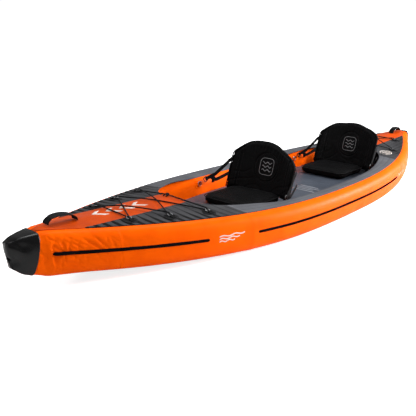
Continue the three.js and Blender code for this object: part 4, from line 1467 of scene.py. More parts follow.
@dataclass
class DeckCords:
    """The elastic cords laced through the anchors' rings, each tied in a knot."""

    anchors: CordAnchors
    radius: float = 0.0035
    knot_radius: float = 0.008

    def over_crown(self, start: Spot, end: Spot, layer: int) -> Points:
        """Gives the point where a leg crosses the middle of the deck."""
        share = start[1] / (start[1] - end[1])
        x = start[0] + (end[0] - start[0]) * share
        lift = self.radius + 0.001 + layer * (2 * self.radius + 0.001)
        return np.array([[x, 0, float(LINES.deck_top(x, 0.0)) + lift]])

    def route(self, places: Sequence[Spot], layers: Sequence[int], knot: Points, beside: Points) -> Points:
        """Gives a cord's whole route from its knot and back."""
        start, end = knot + beside, knot - beside
        stops = [tuple(start[:2]), *places, tuple(end[:2])]
        parts = [start[None]]
        for i in range(1, len(stops) - 1):
            if i > 1:
                parts.append(self.over_crown(stops[i - 1], stops[i], layers[i - 2]))
            parts.append(self.anchors.turn(stops[i], stops[i - 1], stops[i + 1], self.radius))
        parts.append(end[None])
        return np.vstack(parts)

    def build(self) -> None:
        """Builds both cords and their knots."""
        bow = self.anchors.places["bow"]
        stern = self.anchors.places["stern"]
        flip = lambda p: (p[0], -p[1])
        bow_run = [bow[2], flip(bow[1]), bow[0], flip(bow[0]), bow[1], flip(bow[2])]
        stern_run = [flip(stern[1]), stern[0], flip(stern[0]), stern[1]]
        self.cord("bow", bow_run, (0, 0, 0, 1, 1), (1.100, -0.026))
        self.cord("stern", stern_run, (0, 0, 1), (-1.168, 0.024))

    def cord(self, end: str, run: Sequence[Spot], layers: Sequence[int], tie: Spot) -> None:
        """Builds one cord and its knot."""
        height = float(LINES.deck_top(*tie)) + self.knot_radius + 0.0008
        knot = np.array([*tie, height])
        towards = math.copysign(1, run[0][1] - tie[1])
        beside = np.array([0, towards * (self.knot_radius + 0.0009), 0])
        path = rounded_path(self.route(run, layers, knot, beside), 0.006)
        for _ in range(2):
            path[1:-1] = 0.5 * path[1:-1] + 0.25 * (path[:-2] + path[2:])
        cord = tube(f"{end}_deck_cord", path, self.radius, CORD_BLACK, 12)
        place(cord, "hull", CORD_BLACK, [f"{end}_cord"])
        turns = np.linspace(0, 4 * math.pi, 60)
        coil = xyz(0.0062 * np.cos(turns), np.linspace(-0.0055, 0.0055, 60), 0.0062 * np.sin(turns))
        wrap = tube(f"{end}_knot_wrap", knot + coil, 0.0033, CORD_BLACK, 10, up=(0, 1, 0))
        tails = []
        for hand in (-1, 1):
            tail = rounded_path(
                knot + np.array([(0, 0, 0.003), (0.010, hand * 0.004, 0.002), (0.022, hand * 0.011, -0.004)]),
                0.002,
            )
            tails.append(tube(f"{end}_knot_tail", tail, 0.0032, CORD_BLACK, 10))
        place(joined(f"{end}_knot", [wrap, *tails]), "hull", CORD_BLACK, [f"{end}_cord_knot"])


@dataclass
class Valves:
    """The air valves: a flanged body with a knurled turning cap in each chamber."""

    flange: float = 0.034
    cap: float = 0.024
    station: float = -0.985

    def places(self) -> dict[str, Place]:
        """Gives each valve's place."""
        height = LINES.floor_top(self.station) + 0.0423
        level = np.array([self.station, 0, LINES.floor_top(self.station) + 0.0013])
        return {
            "port": on_wall(self.station, height, 1, 0.0035),
            "starboard": on_wall(self.station, height, -1, 0.0035),
            "floor": Place(level, np.eye(3)),
        }

    def turned(self, name: str, profile: Sequence[Spot], knurl: float, finish: Finish) -> Piece:
        """Makes a turned piece about Z from radii and heights in mm, knurled where it is widest."""
        turns = circle(96)
        sizes = np.array(profile) / 1000
        widest = sizes[:, 0].max()
        rings = []
        for radius, height in sizes:
            grip = knurl * smooth(radius / widest, 0.93, 1.0)
            round_about = max(radius, 0.0004) - grip * (0.5 + 0.5 * np.cos(turns * 24))
            rings.append(xyz(round_about * np.cos(turns), round_about * np.sin(turns), height))
        return loft(name, np.array(rings), finish)

    def build(self) -> None:
        """Builds the three valves."""
        flange = [(33.5, 0.6), (34, 1.4), (33.5, 2.6), (32, 3.4), (28.5, 3.6), (28, 3), (26.5, 3), (26, 3.6)]
        cap = [(23.2, 4), (24, 5), (24, 12), (23.2, 14.6), (21.5, 15.8), (19, 16), (18.4, 15.2), (16, 15.2)]
        for name, spot in self.places().items():
            body = spot.move(self.turned(f"{name}_valve_flange", [*flange, (1, 3.6)], 0.0, PLASTIC))
            place(body, "hull", PLASTIC, [f"{name}_valve_body"])
            lid = self.turned(f"{name}_valve_lid", [*cap, (1, 15.2)], 0.0009, VALVE_GREY)
            bar = finger_bar(f"{name}_valve_bar", 0.0170, 0.0026, 0.0150, 0.0205, VALVE_GREY)
            turned_cap = spot.move(joined(f"{name}_valve_turning_cap", [lid, bar]))
            place(turned_cap, f"{name}_valve_cap", VALVE_GREY, [f"{name}_valve_cap"])


def finger_bar(name: str, reach: float, half: float, low: float, high: float, finish: Finish) -> Piece:
    """Makes the finger bar across a valve's cap, with rounded ends and a rounded top.

    Args:
        name: Its name.
        reach: Half its length, along X.
        half: Half its thickness.
        low: The height of its foot.
        high: The height of its top.
        finish: Its finish.

    Returns:
        The bar.
    """
    u, v = squared(circle(20), 0.6)
    rings = []
    for share in np.linspace(-1, 1, 25):
        round_off = math.sqrt(max(0.03, 1 - abs(share) ** 6))
        y, z = half * round_off * u, (low + high) / 2 + (high - low) / 2 * round_off * v
        rings.append(xyz(share * reach, y, z))
    return loft(name, np.array(rings), finish)


# ---- Seats ----
@dataclass(frozen=True)
class SeatLines:
    """The sizes of one seat, about its fold axis."""

    axis: float
    base_half_width: float = 0.185
    base_reach: float = 0.320
    base_behind: float = 0.060
    base_gap: float = 0.018
    corner: float = 0.055
    base_height: float = 0.050
    back_half_width: float = 0.250
    top_centre: float = 0.350
    top_wing: float = 0.232
    bottom_centre: float = 0.022
    bottom_wing: float = 0.012
    lean_from: float = 0.046
    wrap: float = 0.072
    lean: float = 0.3
    thickness: float = 0.026
    pocket: float = 0.034
    ring_ahead: float = 0.168
    ring_above: float = 0.056
    to_port: float = 0.012

    @property
    def floor(self) -> float:
        """The height that the seat base rests at."""
        rear, front = self.axis - self.base_behind, self.axis + self.base_reach
        return max(LINES.floor_top(rear), LINES.floor_top(front)) + 0.0009

    def bottom(self, u: Points) -> Points:
        """Gives the backrest's lower edge at a share across it."""
        wing = smooth(np.abs(u), 0.76, 0.87)
        return self.floor + self.bottom_centre + (self.bottom_wing - self.bottom_centre) * wing

    def top(self, u: Points) -> Points:
        """Gives the backrest's upper edge at a share across it."""
        return self.floor + self.top_centre + (self.top_wing - self.top_centre) * np.abs(u) ** 2.1

    def front(self, u: Points, z: Points) -> Points:
        """Gives the backrest's front face at a share across it and a height."""
        rise = z - self.floor - self.lean_from
        return self.axis - 0.050 + self.wrap * np.abs(u) ** 2 - self.lean * rise

    def depth(self, u: Points, t: Points) -> Points:
        """Gives the backrest's thickness, with the pocket on its back."""
        bulge = self.pocket * (1 - u**2) * np.sin(math.pi * np.clip(t * 1.25, 0, 1))
        return self.thickness - 0.008 * np.abs(2 * t - 1) ** 3 + bulge


@dataclass
class SeatMaker:
    """Makes the padded seat bases and backrests, and the straps that hold them."""

    voxel: float = 0.0055
    frames: int = 20
    pressure: float = 4.0
    swell: float = 0.009
    shrink: float = 0.004
    label: float = 0.060
    ring: float = 0.090
    label_u: float = 0.02
    label_height: float = 0.192
    cloth: dict[str, bpy.types.Mesh] = field(default_factory=dict)

    def back_rings(self, lines: SeatLines) -> Points:
        """Gives the backrest's rings across it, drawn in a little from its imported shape."""
        rings = []
        for u in np.sin(np.linspace(-math.pi / 2, math.pi / 2, 45)):
            y = u * lines.back_half_width
            side = abs(u)
            edge = 0.020 * smooth(side, 0.955, 1.0)
            bottom = float(lines.bottom(u)) + edge
            top = float(lines.top(u)) - edge
            up = np.linspace(0, 1, 19)
            z = bottom + (top - bottom) * up
            thin = 1 - 0.6 * smooth(side, 0.955, 1.0)
            depth = lines.depth(u, up) * thin - 2 * self.shrink
            front = lines.front(u, z) - self.shrink
            back_face = xyz(front - depth, y, z)
            front_face = xyz(front, y, z)
            rings.append(np.vstack([back_face, front_face[::-1]]))
        return np.array(rings)

    def base_rings(self, lines: SeatLines) -> Points:
        """Gives the base's rings from its back to its front."""
        inset = self.shrink
        rear = lines.axis - lines.base_behind + lines.base_gap + inset
        front = lines.axis + lines.base_reach - inset
        shares = np.concatenate([np.linspace(0.02, 1, 9), [1.6, 2.6]])
        xs = [*(rear + lines.corner * shares), *(front - lines.corner * shares[::-1])]
        u, v = squared(2 * math.pi * (np.arange(48) + 0.5) / 48, 0.35)
        rings = []
        for x in xs:
            near = min(x - rear, front - x, lines.corner) / lines.corner
            rounding = math.sqrt(1 - (1 - near) ** 2)
            wide = lines.base_half_width - inset - lines.corner * (1 - rounding)
            half = (lines.base_height / 2 - inset) * (0.72 + 0.28 * rounding)
            rings.append(xyz(x, wide * u, lines.floor + lines.base_height / 2 + half * v))
        return np.array(rings)

    def simulate(self, source: Piece, cap: float, swells: Triple) -> Piece:
        """Swells a closed form with a cloth simulation and caps how far each point moves.

        Args:
            source: The form.
            cap: The furthest that a point may move.
            swells: The share of its swelling that is kept along each axis, which holds its outline.

        Returns:
            The swollen piece, with one subdivision.
        """
        scene = bpy.context.scene
        remesh = source.modifiers.new("remesh", "REMESH")
        remesh.mode = "VOXEL"
        remesh.voxel_size = self.voxel
        remesh.use_smooth_shade = True
        self.apply(source)
        start = self.points(source)
        cloth = source.modifiers.new("cloth", "CLOTH")
        settings = cloth.settings
        settings.quality = 4
        settings.mass = 0.3
        settings.tension_stiffness = 18
        settings.compression_stiffness = 14
        settings.bending_stiffness = 0.8
        settings.use_pressure = True
        settings.uniform_pressure_force = self.pressure
        settings.effector_weights.gravity = 0
        cloth.point_cache.frame_start = 1
        cloth.point_cache.frame_end = self.frames
        for frame_number in range(1, self.frames + 1):
            scene.frame_set(frame_number)
        self.apply(source)
        scene.frame_set(1)
        moved = (self.points(source) - start) * np.array(swells)
        length = np.linalg.norm(moved, axis=1, keepdims=True)
        moved *= np.minimum(1, cap / np.maximum(length, 1e-9))
        self.set_points(source, start + moved)
        finer = source.modifiers.new("finer", "SUBSURF")
        finer.levels = finer.render_levels = 1
        self.apply(source)
        source.data.polygons.foreach_set("use_smooth", [True] * len(source.data.polygons))
        return source

    @staticmethod
    def apply(piece: Piece) -> None:
        """Applies a piece's modifiers to its mesh."""
        depsgraph = bpy.context.evaluated_depsgraph_get()
        mesh = bpy.data.meshes.new_from_object(piece.evaluated_get(depsgraph))
        piece.modifiers.clear()
        piece.data = mesh

    @staticmethod
    def points(piece: Piece) -> Points:
        """Gives a piece's points."""
        flat = np.zeros(len(piece.data.vertices) * 3)
        piece.data.vertices.foreach_get("co", flat)
        return flat.reshape(-1, 3)

    @staticmethod
    def set_points(piece: Piece, points: Points) -> None:
        """Moves a piece's points."""
        piece.data.vertices.foreach_set("co", points.ravel())
        piece.data.update()

    @staticmethod
    def normals(piece: Piece) -> Points:
        """Gives the normals at a piece's points."""
        flat = np.zeros(len(piece.data.vertices) * 3)
        piece.data.vertex_normals.foreach_get("vector", flat)
        return flat.reshape(-1, 3)

    def shape_back(self, piece: Piece, lines: SeatLines, seed: float, slump: float) -> None:
        """Adds a backrest's seams, gathers and slump.

        Args:
            piece: The swollen backrest.
            lines: The seat's sizes.
            seed: Picks the wrinkles.
            slump: How far its port shoulder has dropped.
        """
        points, normals = self.points(piece), self.normals(piece)
        across = points[:, 1] - lines.to_port
        u = across / lines.back_half_width
        low, high = lines.bottom(u), lines.top(u)
        t = np.clip((points[:, 2] - low) / (high - low), 0, 1)
        facing = smooth(normals[:, 0], 0.15, 0.6)
        behind = smooth(-normals[:, 0], 0.15, 0.6)
        press = np.zeros(len(points))
        bolster = np.abs(np.abs(u) - 0.74)
        press += 0.0042 * np.exp(-((bolster / 0.020) ** 2)) * facing * smooth(t, 0.02, 0.1)
        edge = np.minimum(high - points[:, 2], 0.2)
        press += 0.0022 * np.exp(-(((edge - 0.014) / 0.005) ** 2)) * facing
        beside = across - self.label_u * lines.back_half_width
        away = np.hypot(beside, 0.98 * (points[:, 2] - lines.floor - self.label_height))
        press += 0.0045 * np.exp(-(((away - self.ring) / 0.0045) ** 2)) * facing
        press += 0.0012 * (1 - smooth(away, self.ring - 0.012, self.ring)) * facing
        gather = np.sin(points[:, 1] * 2 * math.pi / 0.026 + 2.5 * ripple(points, (0.07, 0.07, 0.07), seed))
        band_top = np.exp(-(((edge - 0.040) / 0.024) ** 2)) * (1 - smooth(np.abs(u), 0.55, 0.72))
        press += 0.0013 * gather * band_top * facing * (1 - np.exp(-((away / (self.ring * 0.9)) ** 8)))
        lean = xyz(points[:, 0], points[:, 1] + 0.35 * points[:, 2], points[:, 2] - 0.3 * points[:, 1])
        folds = ripple(lean, (0.2, 0.075, 0.19), seed + 3)
        lower = (1 - smooth(t, 0.25, 0.75)) * 0.8 + 0.35
        press += 0.0048 * folds * facing * lower * smooth(away, self.ring * 0.6, self.ring * 1.2)
        creases = np.clip(1 - np.abs(ripple(lean, (0.2, 0.10, 0.06), seed + 9)) * 6, 0, 1)
        press += 0.0024 * creases * facing * lower * smooth(away, self.ring, self.ring * 1.3)
        pocket_line = np.abs(t - 0.70)
        press += 0.0040 * np.exp(-((pocket_line / 0.016) ** 2)) * behind
        press += 0.0030 * ripple(lean, (0.2, 0.022, 0.30), seed + 5) * behind * (t < 0.68)
        points = points - normals * press[:, None]
        shoulder = self.slump_at(u, t, slump)
        points[:, 2] -= shoulder
        points[:, 0] += 0.4 * shoulder
        self.set_points(piece, points)

    def shape_base(self, piece: Piece, lines: SeatLines) -> None:
        """Adds a base's edge seam, its shallow seat and its two cross channels."""
        points, normals = self.points(piece), self.normals(piece)
        x = points[:, 0] - lines.axis
        y = points[:, 1]
        up = smooth(normals[:, 2], 0.3, 0.8)
        press = 0.006 * np.exp(-(((x - 0.12) / 0.13) ** 2) - ((y / 0.12) ** 2)) * up
        for at in (0.085, 0.215):
            press += 0.0022 * np.exp(-(((x - at) / 0.0045) ** 2)) * up * smooth(0.16 - np.abs(y), 0, 0.02)
        press += 0.0012 * ripple(points, (0.06, 0.06, 0.06), 6.4)
        side = 1 - np.abs(normals[:, 2])
        seam = lines.floor + lines.base_height * 0.80
        press += 0.0022 * np.exp(-(((points[:, 2] - seam) / 0.0035) ** 2)) * smooth(side, 0.5, 0.9)
        self.set_points(piece, points - normals * press[:, None])

    def build(self, name: str, lines: SeatLines, seed: float, slump: float) -> None:
        """Builds one seat.

        Args:
            name: The seat's name, front or rear.
            lines: Its sizes.
            seed: Picks its wrinkles.
            slump: How far the backrest's port shoulder has dropped.
        """
        back = self.copy_of("back", f"{name}_backrest", lines)
        self.shape_back(back, lines, seed, slump)
        base = self.copy_of("base", f"{name}_seat_cushion", lines)
        self.shape_base(base, lines)
        place(base, "hull", SEAT_CLOTH, [f"{name}_seat_base"])
        self.base_piping(name, lines)
        self.back_trim(name, lines, back, slump)
        place(back, f"{name}_seat_back", SEAT_CLOTH, [f"{name}_seat_back"])
        for side, hand in SIDES.items():
            self.strap(name, lines, side, hand)

    def copy_of(self, kind: str, name: str, lines: SeatLines) -> Piece:
        """Gives a swollen piece, simulated once and then copied to the other seat."""
        model = SeatLines(axis=0.335)
        is_back = kind == "back"
        if kind not in self.cloth:
            rings = self.back_rings(model) if is_back else self.base_rings(model)[:, ::-1]
            swells = (1.0, 0.12, 0.12) if is_back else (0.12, 0.12, 1.0)
            made = self.simulate(loft(name, rings, SEAT_CLOTH), self.swell if is_back else 0.007, swells)
            made.data.materials.clear()
            made.data.materials.append(SEAT_CLOTH.material())
            self.cloth[kind] = made.data.copy()
        else:
            made = bpy.data.objects.new(name, self.cloth[kind].copy())
            bpy.context.scene.collection.objects.link(made)
        shift = Vector((lines.axis - model.axis, lines.to_port * is_back, lines.floor - model.floor))
        made.data.transform(Matrix.Translation(shift))
        return made

    def base_piping(self, name: str, lines: SeatLines) -> None:
        """Builds the piping round a base's upper edge."""
        rear, front = lines.axis - lines.base_behind + lines.base_gap, lines.axis + lines.base_reach
        corner, wide = lines.corner, lines.base_half_width
        points = []
        for cx, cy, first in ((front, 1, 0), (rear, 1, 90), (rear, -1, 180), (front, -1, 270)):
            sign = 1 if cx == front else -1
            for degrees in np.linspace(first, first + 90, 7):
                turn = math.radians(degrees)
                x = cx - sign * corner + corner * math.cos(turn)
                y = cy * (wide - corner) + corner * math.sin(turn)
                points.append((x, y, lines.floor + lines.base_height * 0.82))
        path = rounded_path(points, 0.006, True)
        centre = np.array([(rear + front) / 2, 0, 0])
        path = centre + (path - centre) * np.array([0.992, 0.990, 1.0])
        piping = tube(f"{name}_cushion_piping", path, 0.0026, SEAT_SIDE, 10, True)
        place(piping, "hull", SEAT_SIDE)

    @staticmethod
    def slump_at(u: Points, t: Points, slump: float) -> Points:
        """Gives how far the backrest's port shoulder has dropped at a share across and up."""
        shoulder = slump * np.clip((u + 0.3) / 1.3, 0, 1)
        corners = 0.026 * smooth(-u, 0.20, 0.70) + 0.038 * smooth(u, 0.35, 1.0)
        return (shoulder - corners) * smooth(t, 0.25, 1.0)

    def face_point(self, lines: SeatLines, u: float, z: float, slump: float) -> Points:
        """Gives a point near the backrest's front face, where the slump leaves it."""
        t = np.clip((z - lines.bottom(u)) / (lines.top(u) - lines.bottom(u)), 0, 1)
        drop = float(self.slump_at(u, t, slump))
        y = lines.to_port + u * lines.back_half_width
        return np.array([float(lines.front(u, z) + 0.4 * drop), y, float(z - drop)])

    def back_trim(self, name: str, lines: SeatLines, back: Piece, slump: float) -> None:
        """Builds the backrest's edge binding, its label and its stitches."""
        body = f"{name}_seat_back"
        edge = []
        for u in np.linspace(-0.975, 0.975, 60):
            top = float(lines.top(u)) - 0.020 * float(smooth(abs(u), 0.955, 1.0))
            spot = self.face_point(lines, u, top - 0.004, slump)
            spot[0] -= 0.010
            edge.append(spot)
        for hand in (1, -1):
            low = float(lines.bottom(1.0)) + 0.024
            zs = np.linspace(float(lines.top(1.0)) - 0.026, low, 9)
            side = [self.face_point(lines, hand * 0.978, z, slump) - np.array([0.008, 0, 0]) for z in zs]
            edge = edge + side if hand > 0 else side[::-1] + edge
        path = rounded_path(edge, 0.008)
        binding = tube(f"{name}_backrest_binding", path, 0.0042, SEAT_SIDE, up=(1, 0, 0))
        place(binding, body, SEAT_SIDE)
        drape = Drape([back], (-1, 0, 0))
        across = lines.to_port + self.label_u * lines.back_half_width
        centre = np.array([lines.axis, across, lines.floor + self.label_height])
        label = f"{name}_label"
        marks = [self.label_frame(label, drape, centre), *self.label_bars(label, drape, centre)]
        marks = [mark for mark in marks if mark is not None]
        place(joined(f"{name}_label_stitching", marks), body, LABEL_GREY)
        rows = []
        for hand in (1, -1):
            for offset in (-0.010, 0.010):
                path = []
                for z in np.linspace(float(lines.bottom(0.74)) + 0.03, float(lines.top(0.74)) - 0.03, 40):
                    y = lines.to_port + hand * 0.74 * lines.back_half_width + offset
                    found = drape.drop((lines.axis, y, z))
                    if found is not None:
                        path.append(found[0])
                rows.append(stitches(f"{name}_seam", np.array(path), (1, 0, 0.3), 0.005))
        turns = np.linspace(0, 2 * math.pi, 120)
        found = [drape.drop(p) for p in centre + (self.ring - 0.0085) * xyz(0, np.cos(turns), np.sin(turns))]
        rows.append(stitches(f"{name}_ring_seam", np.array([f[0] for f in found if f]), (1, 0, 0.3), 0.0045))
        place(joined(f"{name}_backrest_stitching", rows), body, SEAT_SIDE)

    def label_frame(self, name: str, drape: Drape, centre: Points) -> Piece | None:
        """Lays the label's rounded outline on the backrest."""
        turns = np.linspace(0, 2 * math.pi, 96, endpoint=True)
        ring = xyz(0, *squared(turns, 0.45))
        path = centre + self.label * 0.86 * ring
        across = ring / np.linalg.norm(ring, axis=1)[:, None]
        return drape.ribbon(name, path, across, 0.0032, LABEL_GREY, 0.0007)

    def label_bars(self, name: str, drape: Drape, centre: Points) -> list[Piece | None]:
        """Lays the label's three plain waves on the backrest."""
        bars = []
        for i, height in enumerate((-0.023, 0.0, 0.023)):
            share = np.linspace(-1, 1, 40)
            y = share * 0.035
            z = height + 0.0050 * np.sin(share * 2 * math.pi + 0.6 * i)
            path = centre + xyz(0, y, z)
            bars.append(drape.ribbon(f"{name}_{i}", path, UP, 0.0052, LABEL_GREY, 0.0007))
        return bars

    def strap(self, name: str, lines: SeatLines, side: str, hand: int) -> None:
        """Builds one side strap, its hook and its ring on the side chamber's inner wall."""
        spot = on_wall(lines.axis + lines.ring_ahead, lines.floor + lines.ring_above, hand, 0.001)
        ring = spot.world((0.004, 0, 0.016))
        side_y = lines.to_port + hand * (lines.back_half_width + 0.007)
        wing = np.array([lines.axis - 0.042, side_y, lines.floor + 0.205])
        along = unit(wing - ring)
        outboard = unit(np.cross(along, (0, 0, 1)) * hand)
        sag = np.array([0, 0, -0.012])
        inner = [ring + along * 0.060, ring + along * 0.12 + sag, (ring + wing) / 2 + sag * 1.4]
        inner.append(wing - along * 0.03 + sag * 0.4)
        anchor = wing + np.array([-0.016, -hand * 0.014, 0.012])
        lower = wing + np.array([-0.014, -hand * 0.004, -0.085])
        pieces = []
        upper_path = rounded_path([*inner, wing, anchor], 0.006)
        pieces.append(band(f"{name}_strap_upper", upper_path, outboard, 0.024, 0.0022, WEBBING))
        doubled = [ring + along * 0.056, ring + along * 0.11 + sag * 1.5, (ring + lower) / 2 + sag, lower]
        lower_path = rounded_path([p + outboard * 0.004 for p in doubled], 0.006)
        pieces.append(band(f"{name}_strap_lower", lower_path, outboard, 0.024, 0.0022, WEBBING))
        tail = [ring + along * 0.085 + outboard * 0.006]
        tail.append(ring + along * 0.11 + np.array([0, -hand * 0.004, -0.030]))
        tail.append(ring + along * 0.115 + np.array([0, -hand * 0.002, -0.060]))
        pieces.append(band(f"{name}_strap_tail", rounded_path(tail, 0.005), outboard, 0.022, 0.002, WEBBING))
        webbing = joined(f"{name}_strap_webbing_{side}", pieces)
        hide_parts(f"{name}_seat_strap_{side}")
        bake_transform(webbing)
        buckle = self.buckle(f"{name}_strap_buckle_{side}", ring + along * 0.052, along, outboard)
        hook_loop = []
        for turn in np.radians(np.linspace(-150, 150, 15)):
            aside = np.cross(outboard, along) * 0.009 * math.sin(turn)
            hook_loop.append(ring + along * (0.010 - 0.008 * math.cos(turn)) + aside)
        loop = tube(f"{name}_hook_loop", rounded_path(hook_loop, 0.002), 0.0024, PLASTIC, up=outboard)
        place(joined(f"{name}_hook_{side}", [buckle, loop]), "hull", PLASTIC, [f"{name}_strap_hook_{side}"])
        self.wall_ring(name, spot, side)

    def buckle(self, name: str, centre: Points, along: Points, out: Points) -> Piece:
        """Builds an adjuster buckle: a rounded frame with a bar across it."""
        across = np.cross(out, along)
        frame_points = []
        for turn in circle(28):
            u = math.copysign(abs(math.cos(turn)) ** 0.4, math.cos(turn)) * 0.013
            v = math.copysign(abs(math.sin(turn)) ** 0.4, math.sin(turn)) * 0.0155
            frame_points.append(centre + along * u + across * v)
        ring = tube(name, np.array(frame_points), 0.0026, PLASTIC, 10, True, tuple(out))
        bar_path = np.array([centre + across * v for v in np.linspace(-0.0155, 0.0155, 6)])
        bar = tube(f"{name}_bar", bar_path, 0.0024, PLASTIC, 10, up=tuple(out))
        return joined(name, [ring, bar])

    def wall_ring(self, name: str, spot: Place, side: str) -> None:
        """Builds one ring with its orange patch on the side chamber's inner wall."""
        node = f"{name}_seat_ring_{side}"
        u, v = squared(circle(48), 0.5)
        rings = []
        steps = ((1.0, 0.0), (1.0, 0.0012), (0.97, 0.0018), (0.9, 0.0020), (0.5, 0.0024), (0.02, 0.0026))
        for share, height in steps:
            rings.append(spot.world(xyz(0.034 * share * u, 0.026 * share * v, height)))
        patch = loft(f"{node}_patch", np.array(rings), ORANGE)
        half = [(-0.020, 0, 0.0036), (-0.010, 0, 0.0052), (-0.005, 0, 0.012)]
        path = half + [(0, 0, 0.0155)] + [(-x, y, z) for x, y, z in half[::-1]]
        tab_path = rounded_path(spot.world(np.array(path)), 0.002)
        tab = band(f"{node}_tab", tab_path, tab_path - spot.world((0, 0, -0.01)), 0.024, 0.0016, ORANGE)
        loop = circle(40)
        shape = xyz(0.015 * np.cos(loop), 0.015 * np.sin(loop), 0.012)
        wire = tube(f"{node}_wire", spot.world(shape), 0.0022, STEEL, 12, True, tuple(spot.axes[2]))
        place(patch, "hull", ORANGE, [node])
        place(tab, "hull", ORANGE)
        place(wire, "hull", STEEL)


# ---- Floor, underside and prints ----
@dataclass
class FloorChamber:
    """The flat inflated floor, with its taped edges."""

    half_length: float = 1.540
    half_thickness: float = 0.0447
    tape: float = 0.034

    def build(self) -> Piece:
        """Builds the floor."""
        ends = self.half_length - 0.045 * (1 - np.sin(np.linspace(0.05, math.pi / 2, 10)))
        half = np.concatenate([np.arange(0, self.half_length - 0.05, 0.02), ends])
        rings = []
        for x in np.concatenate([-half[:0:-1], half]):
            past = max(0.0, (abs(x) - (self.half_length - 0.045)) / 0.045)
            near = math.sqrt(max(0.002, 1 - past * past))
            wide = float(LINES.half_beam(x) - 2 * LINES.half_width(x)) - 0.001 - 0.045 * (1 - near)
            thick = self.half_thickness * (0.25 + 0.75 * near)
            middle = float(LINES.bottom(x)) + 0.045
            flat = np.linspace(wide - thick, -(wide - thick), 33)
            turns = np.linspace(math.pi / 2, 3 * math.pi / 2, 13)
            top = np.stack([flat, 0 * flat + thick], -1)
            left = np.stack([-(wide - thick) + thick * np.cos(turns), thick * np.sin(turns)], -1)
            upper = self.relief(top, wide)
            section = np.vstack([upper, left[1:-1], np.stack([-flat, 0 * flat - thick], -1), -left[1:-1]])
            rings.append(np.column_stack([np.full(len(section), x), section[:, 0], section[:, 1] + middle]))
        floor = loft("floor_skin", np.array(rings), FLOOR_GREY)
        return place(floor, "hull", FLOOR_GREY, ["floor_chamber"])

    def relief(self, top: Points, wide: float) -> Points:
        """Presses the step of the edge tape into the floor's top."""
        away = wide - np.abs(top[:, 0])
        step = 0.0010 * smooth(away, self.tape, self.tape + 0.012)
        return np.column_stack([top[:, 0], top[:, 1] - step])


@dataclass
class Prints:
    """Plain printed marks: chevrons on the bow, waves on the sides and bars on the floor."""

    deck: Drape
    sides: dict[str, Drape]
    floor: Drape

    def build(self) -> None:
        """Lays every print."""
        chevrons = []
        for i in range(4):
            x = 1.600 - 0.082 * i
            for hand in (-1, 1):
                share = np.linspace(0, 1, 14)[:, None]
                tip, tail = np.array([x, -0.012, 0.34]), np.array([x - 0.050, -0.012 + hand * 0.040, 0.34])
                path = tip + (tail - tip) * share
                chevrons.append(self.deck.ribbon("bow_chevron", path, AHEAD, 0.026, PRINT_WHITE))
        self.keep("bow_chevrons", chevrons, PRINT_WHITE)
        self.keep("stern_emblem", self.emblem(), PRINT_WHITE)
        for side, hand in SIDES.items():
            self.keep(f"{side}_wave_mark", self.waves(self.sides[side], hand), PRINT_WHITE)
        bars = []
        for i in range(4):
            y = np.linspace(0.03, 0.20 - 0.03 * (i % 2), 16)
            path = xyz(-0.06 - 0.035 * i, y, 0.12)
            bars.append(self.floor.ribbon("floor_bar", path, AHEAD, 0.012, PRINT_GREY))
        self.keep("floor_bars", bars, PRINT_GREY)

    def emblem(self) -> list[Piece | None]:
        """Lays a rounded outline with stripes on the stern's port pad."""
        centre = np.array([-1.054, 0.249, 0.30])
        turns = np.linspace(0, 2 * math.pi, 64)
        u, v = np.cos(turns), np.sin(turns)
        path = centre + xyz(0.056 * u, 0.042 * v, 0)
        marks = [self.deck.ribbon("stern_oval", path, xyz(u, v, 0), 0.006, PRINT_WHITE, 0.0012)]
        for i, reach in ((-1, 0.024), (0, 0.030), (1, 0.024)):
            y = np.linspace(-reach, reach, 12)
            bar = centre + xyz(0.022 * i, y, 0)
            marks.append(self.deck.ribbon("stern_bar", bar, AHEAD, 0.009, PRINT_WHITE, 0.0012))
        return marks

    def waves(self, drape: Drape, hand: int) -> list[Piece | None]:
        """Lays three wave lines and a dot on one side, and small bars towards the stern."""
        marks = []
        for i in range(3):
            share = np.linspace(0, 1, 40)
            x = 1.150 - (0.150 - 0.03 * i) * share
            z = 0.142 - 0.013 * i + 0.0035 * np.sin(share * 4 * math.pi)
            path = xyz(x, hand * 0.45, z)
            marks.append(drape.ribbon("side_wave", path, UP, 0.0055, PRINT_WHITE, 0.0008))
        for i in range(4):
            x = np.linspace(-0.840 - 0.05 * i, -0.864 - 0.05 * i, 6)
            path = xyz(x, hand * 0.45, np.linspace(0.135, 0.118, 6))
            marks.append(drape.ribbon("stern_side_bar", path, UP, 0.006, PRINT_WHITE, 0.0008))
        return marks

    def keep(self, name: str, marks: Sequence[Piece | None], finish: Finish) -> None:
        """Joins the marks that met the surface into one piece on the hull."""
        found = [mark for mark in marks if mark is not None]
        if found:
            place(joined(name, found), "hull", finish)


# ---- Studio ----
@dataclass(frozen=True)
class View:
    """The camera's place and turn."""

    place: Triple = (3.089, 1.977, 1.077)
    yaw: float = 220.76
    pitch: float = -17.42
    roll: float = 1.3
    lens: float = 47.29

    def build(self) -> None:
        """Places the camera."""
        yaw, pitch, roll = (math.radians(a) for a in (self.yaw, self.pitch, self.roll))
        ahead = Vector((math.cos(yaw) * math.cos(pitch), math.sin(yaw) * math.cos(pitch), math.sin(pitch)))
        right = ahead.cross(Vector((0, 0, 1))).normalized()
        up = right.cross(ahead)
        turned_right = right * math.cos(roll) + up * math.sin(roll)
        turned_up = up * math.cos(roll) - right * math.sin(roll)
        data = bpy.data.cameras.new("camera")
        data.lens = self.lens
        data.sensor_width = 36
        data.dof.use_dof = False
        data.clip_end = 60
        camera = bpy.data.objects.new("camera", data)
        bpy.context.scene.collection.objects.link(camera)
        turn = Matrix((turned_right, turned_up, -ahead)).transposed().to_4x4()
        camera.matrix_world = Matrix.Translation(Vector(self.place)) @ turn
        bpy.context.scene.camera = camera


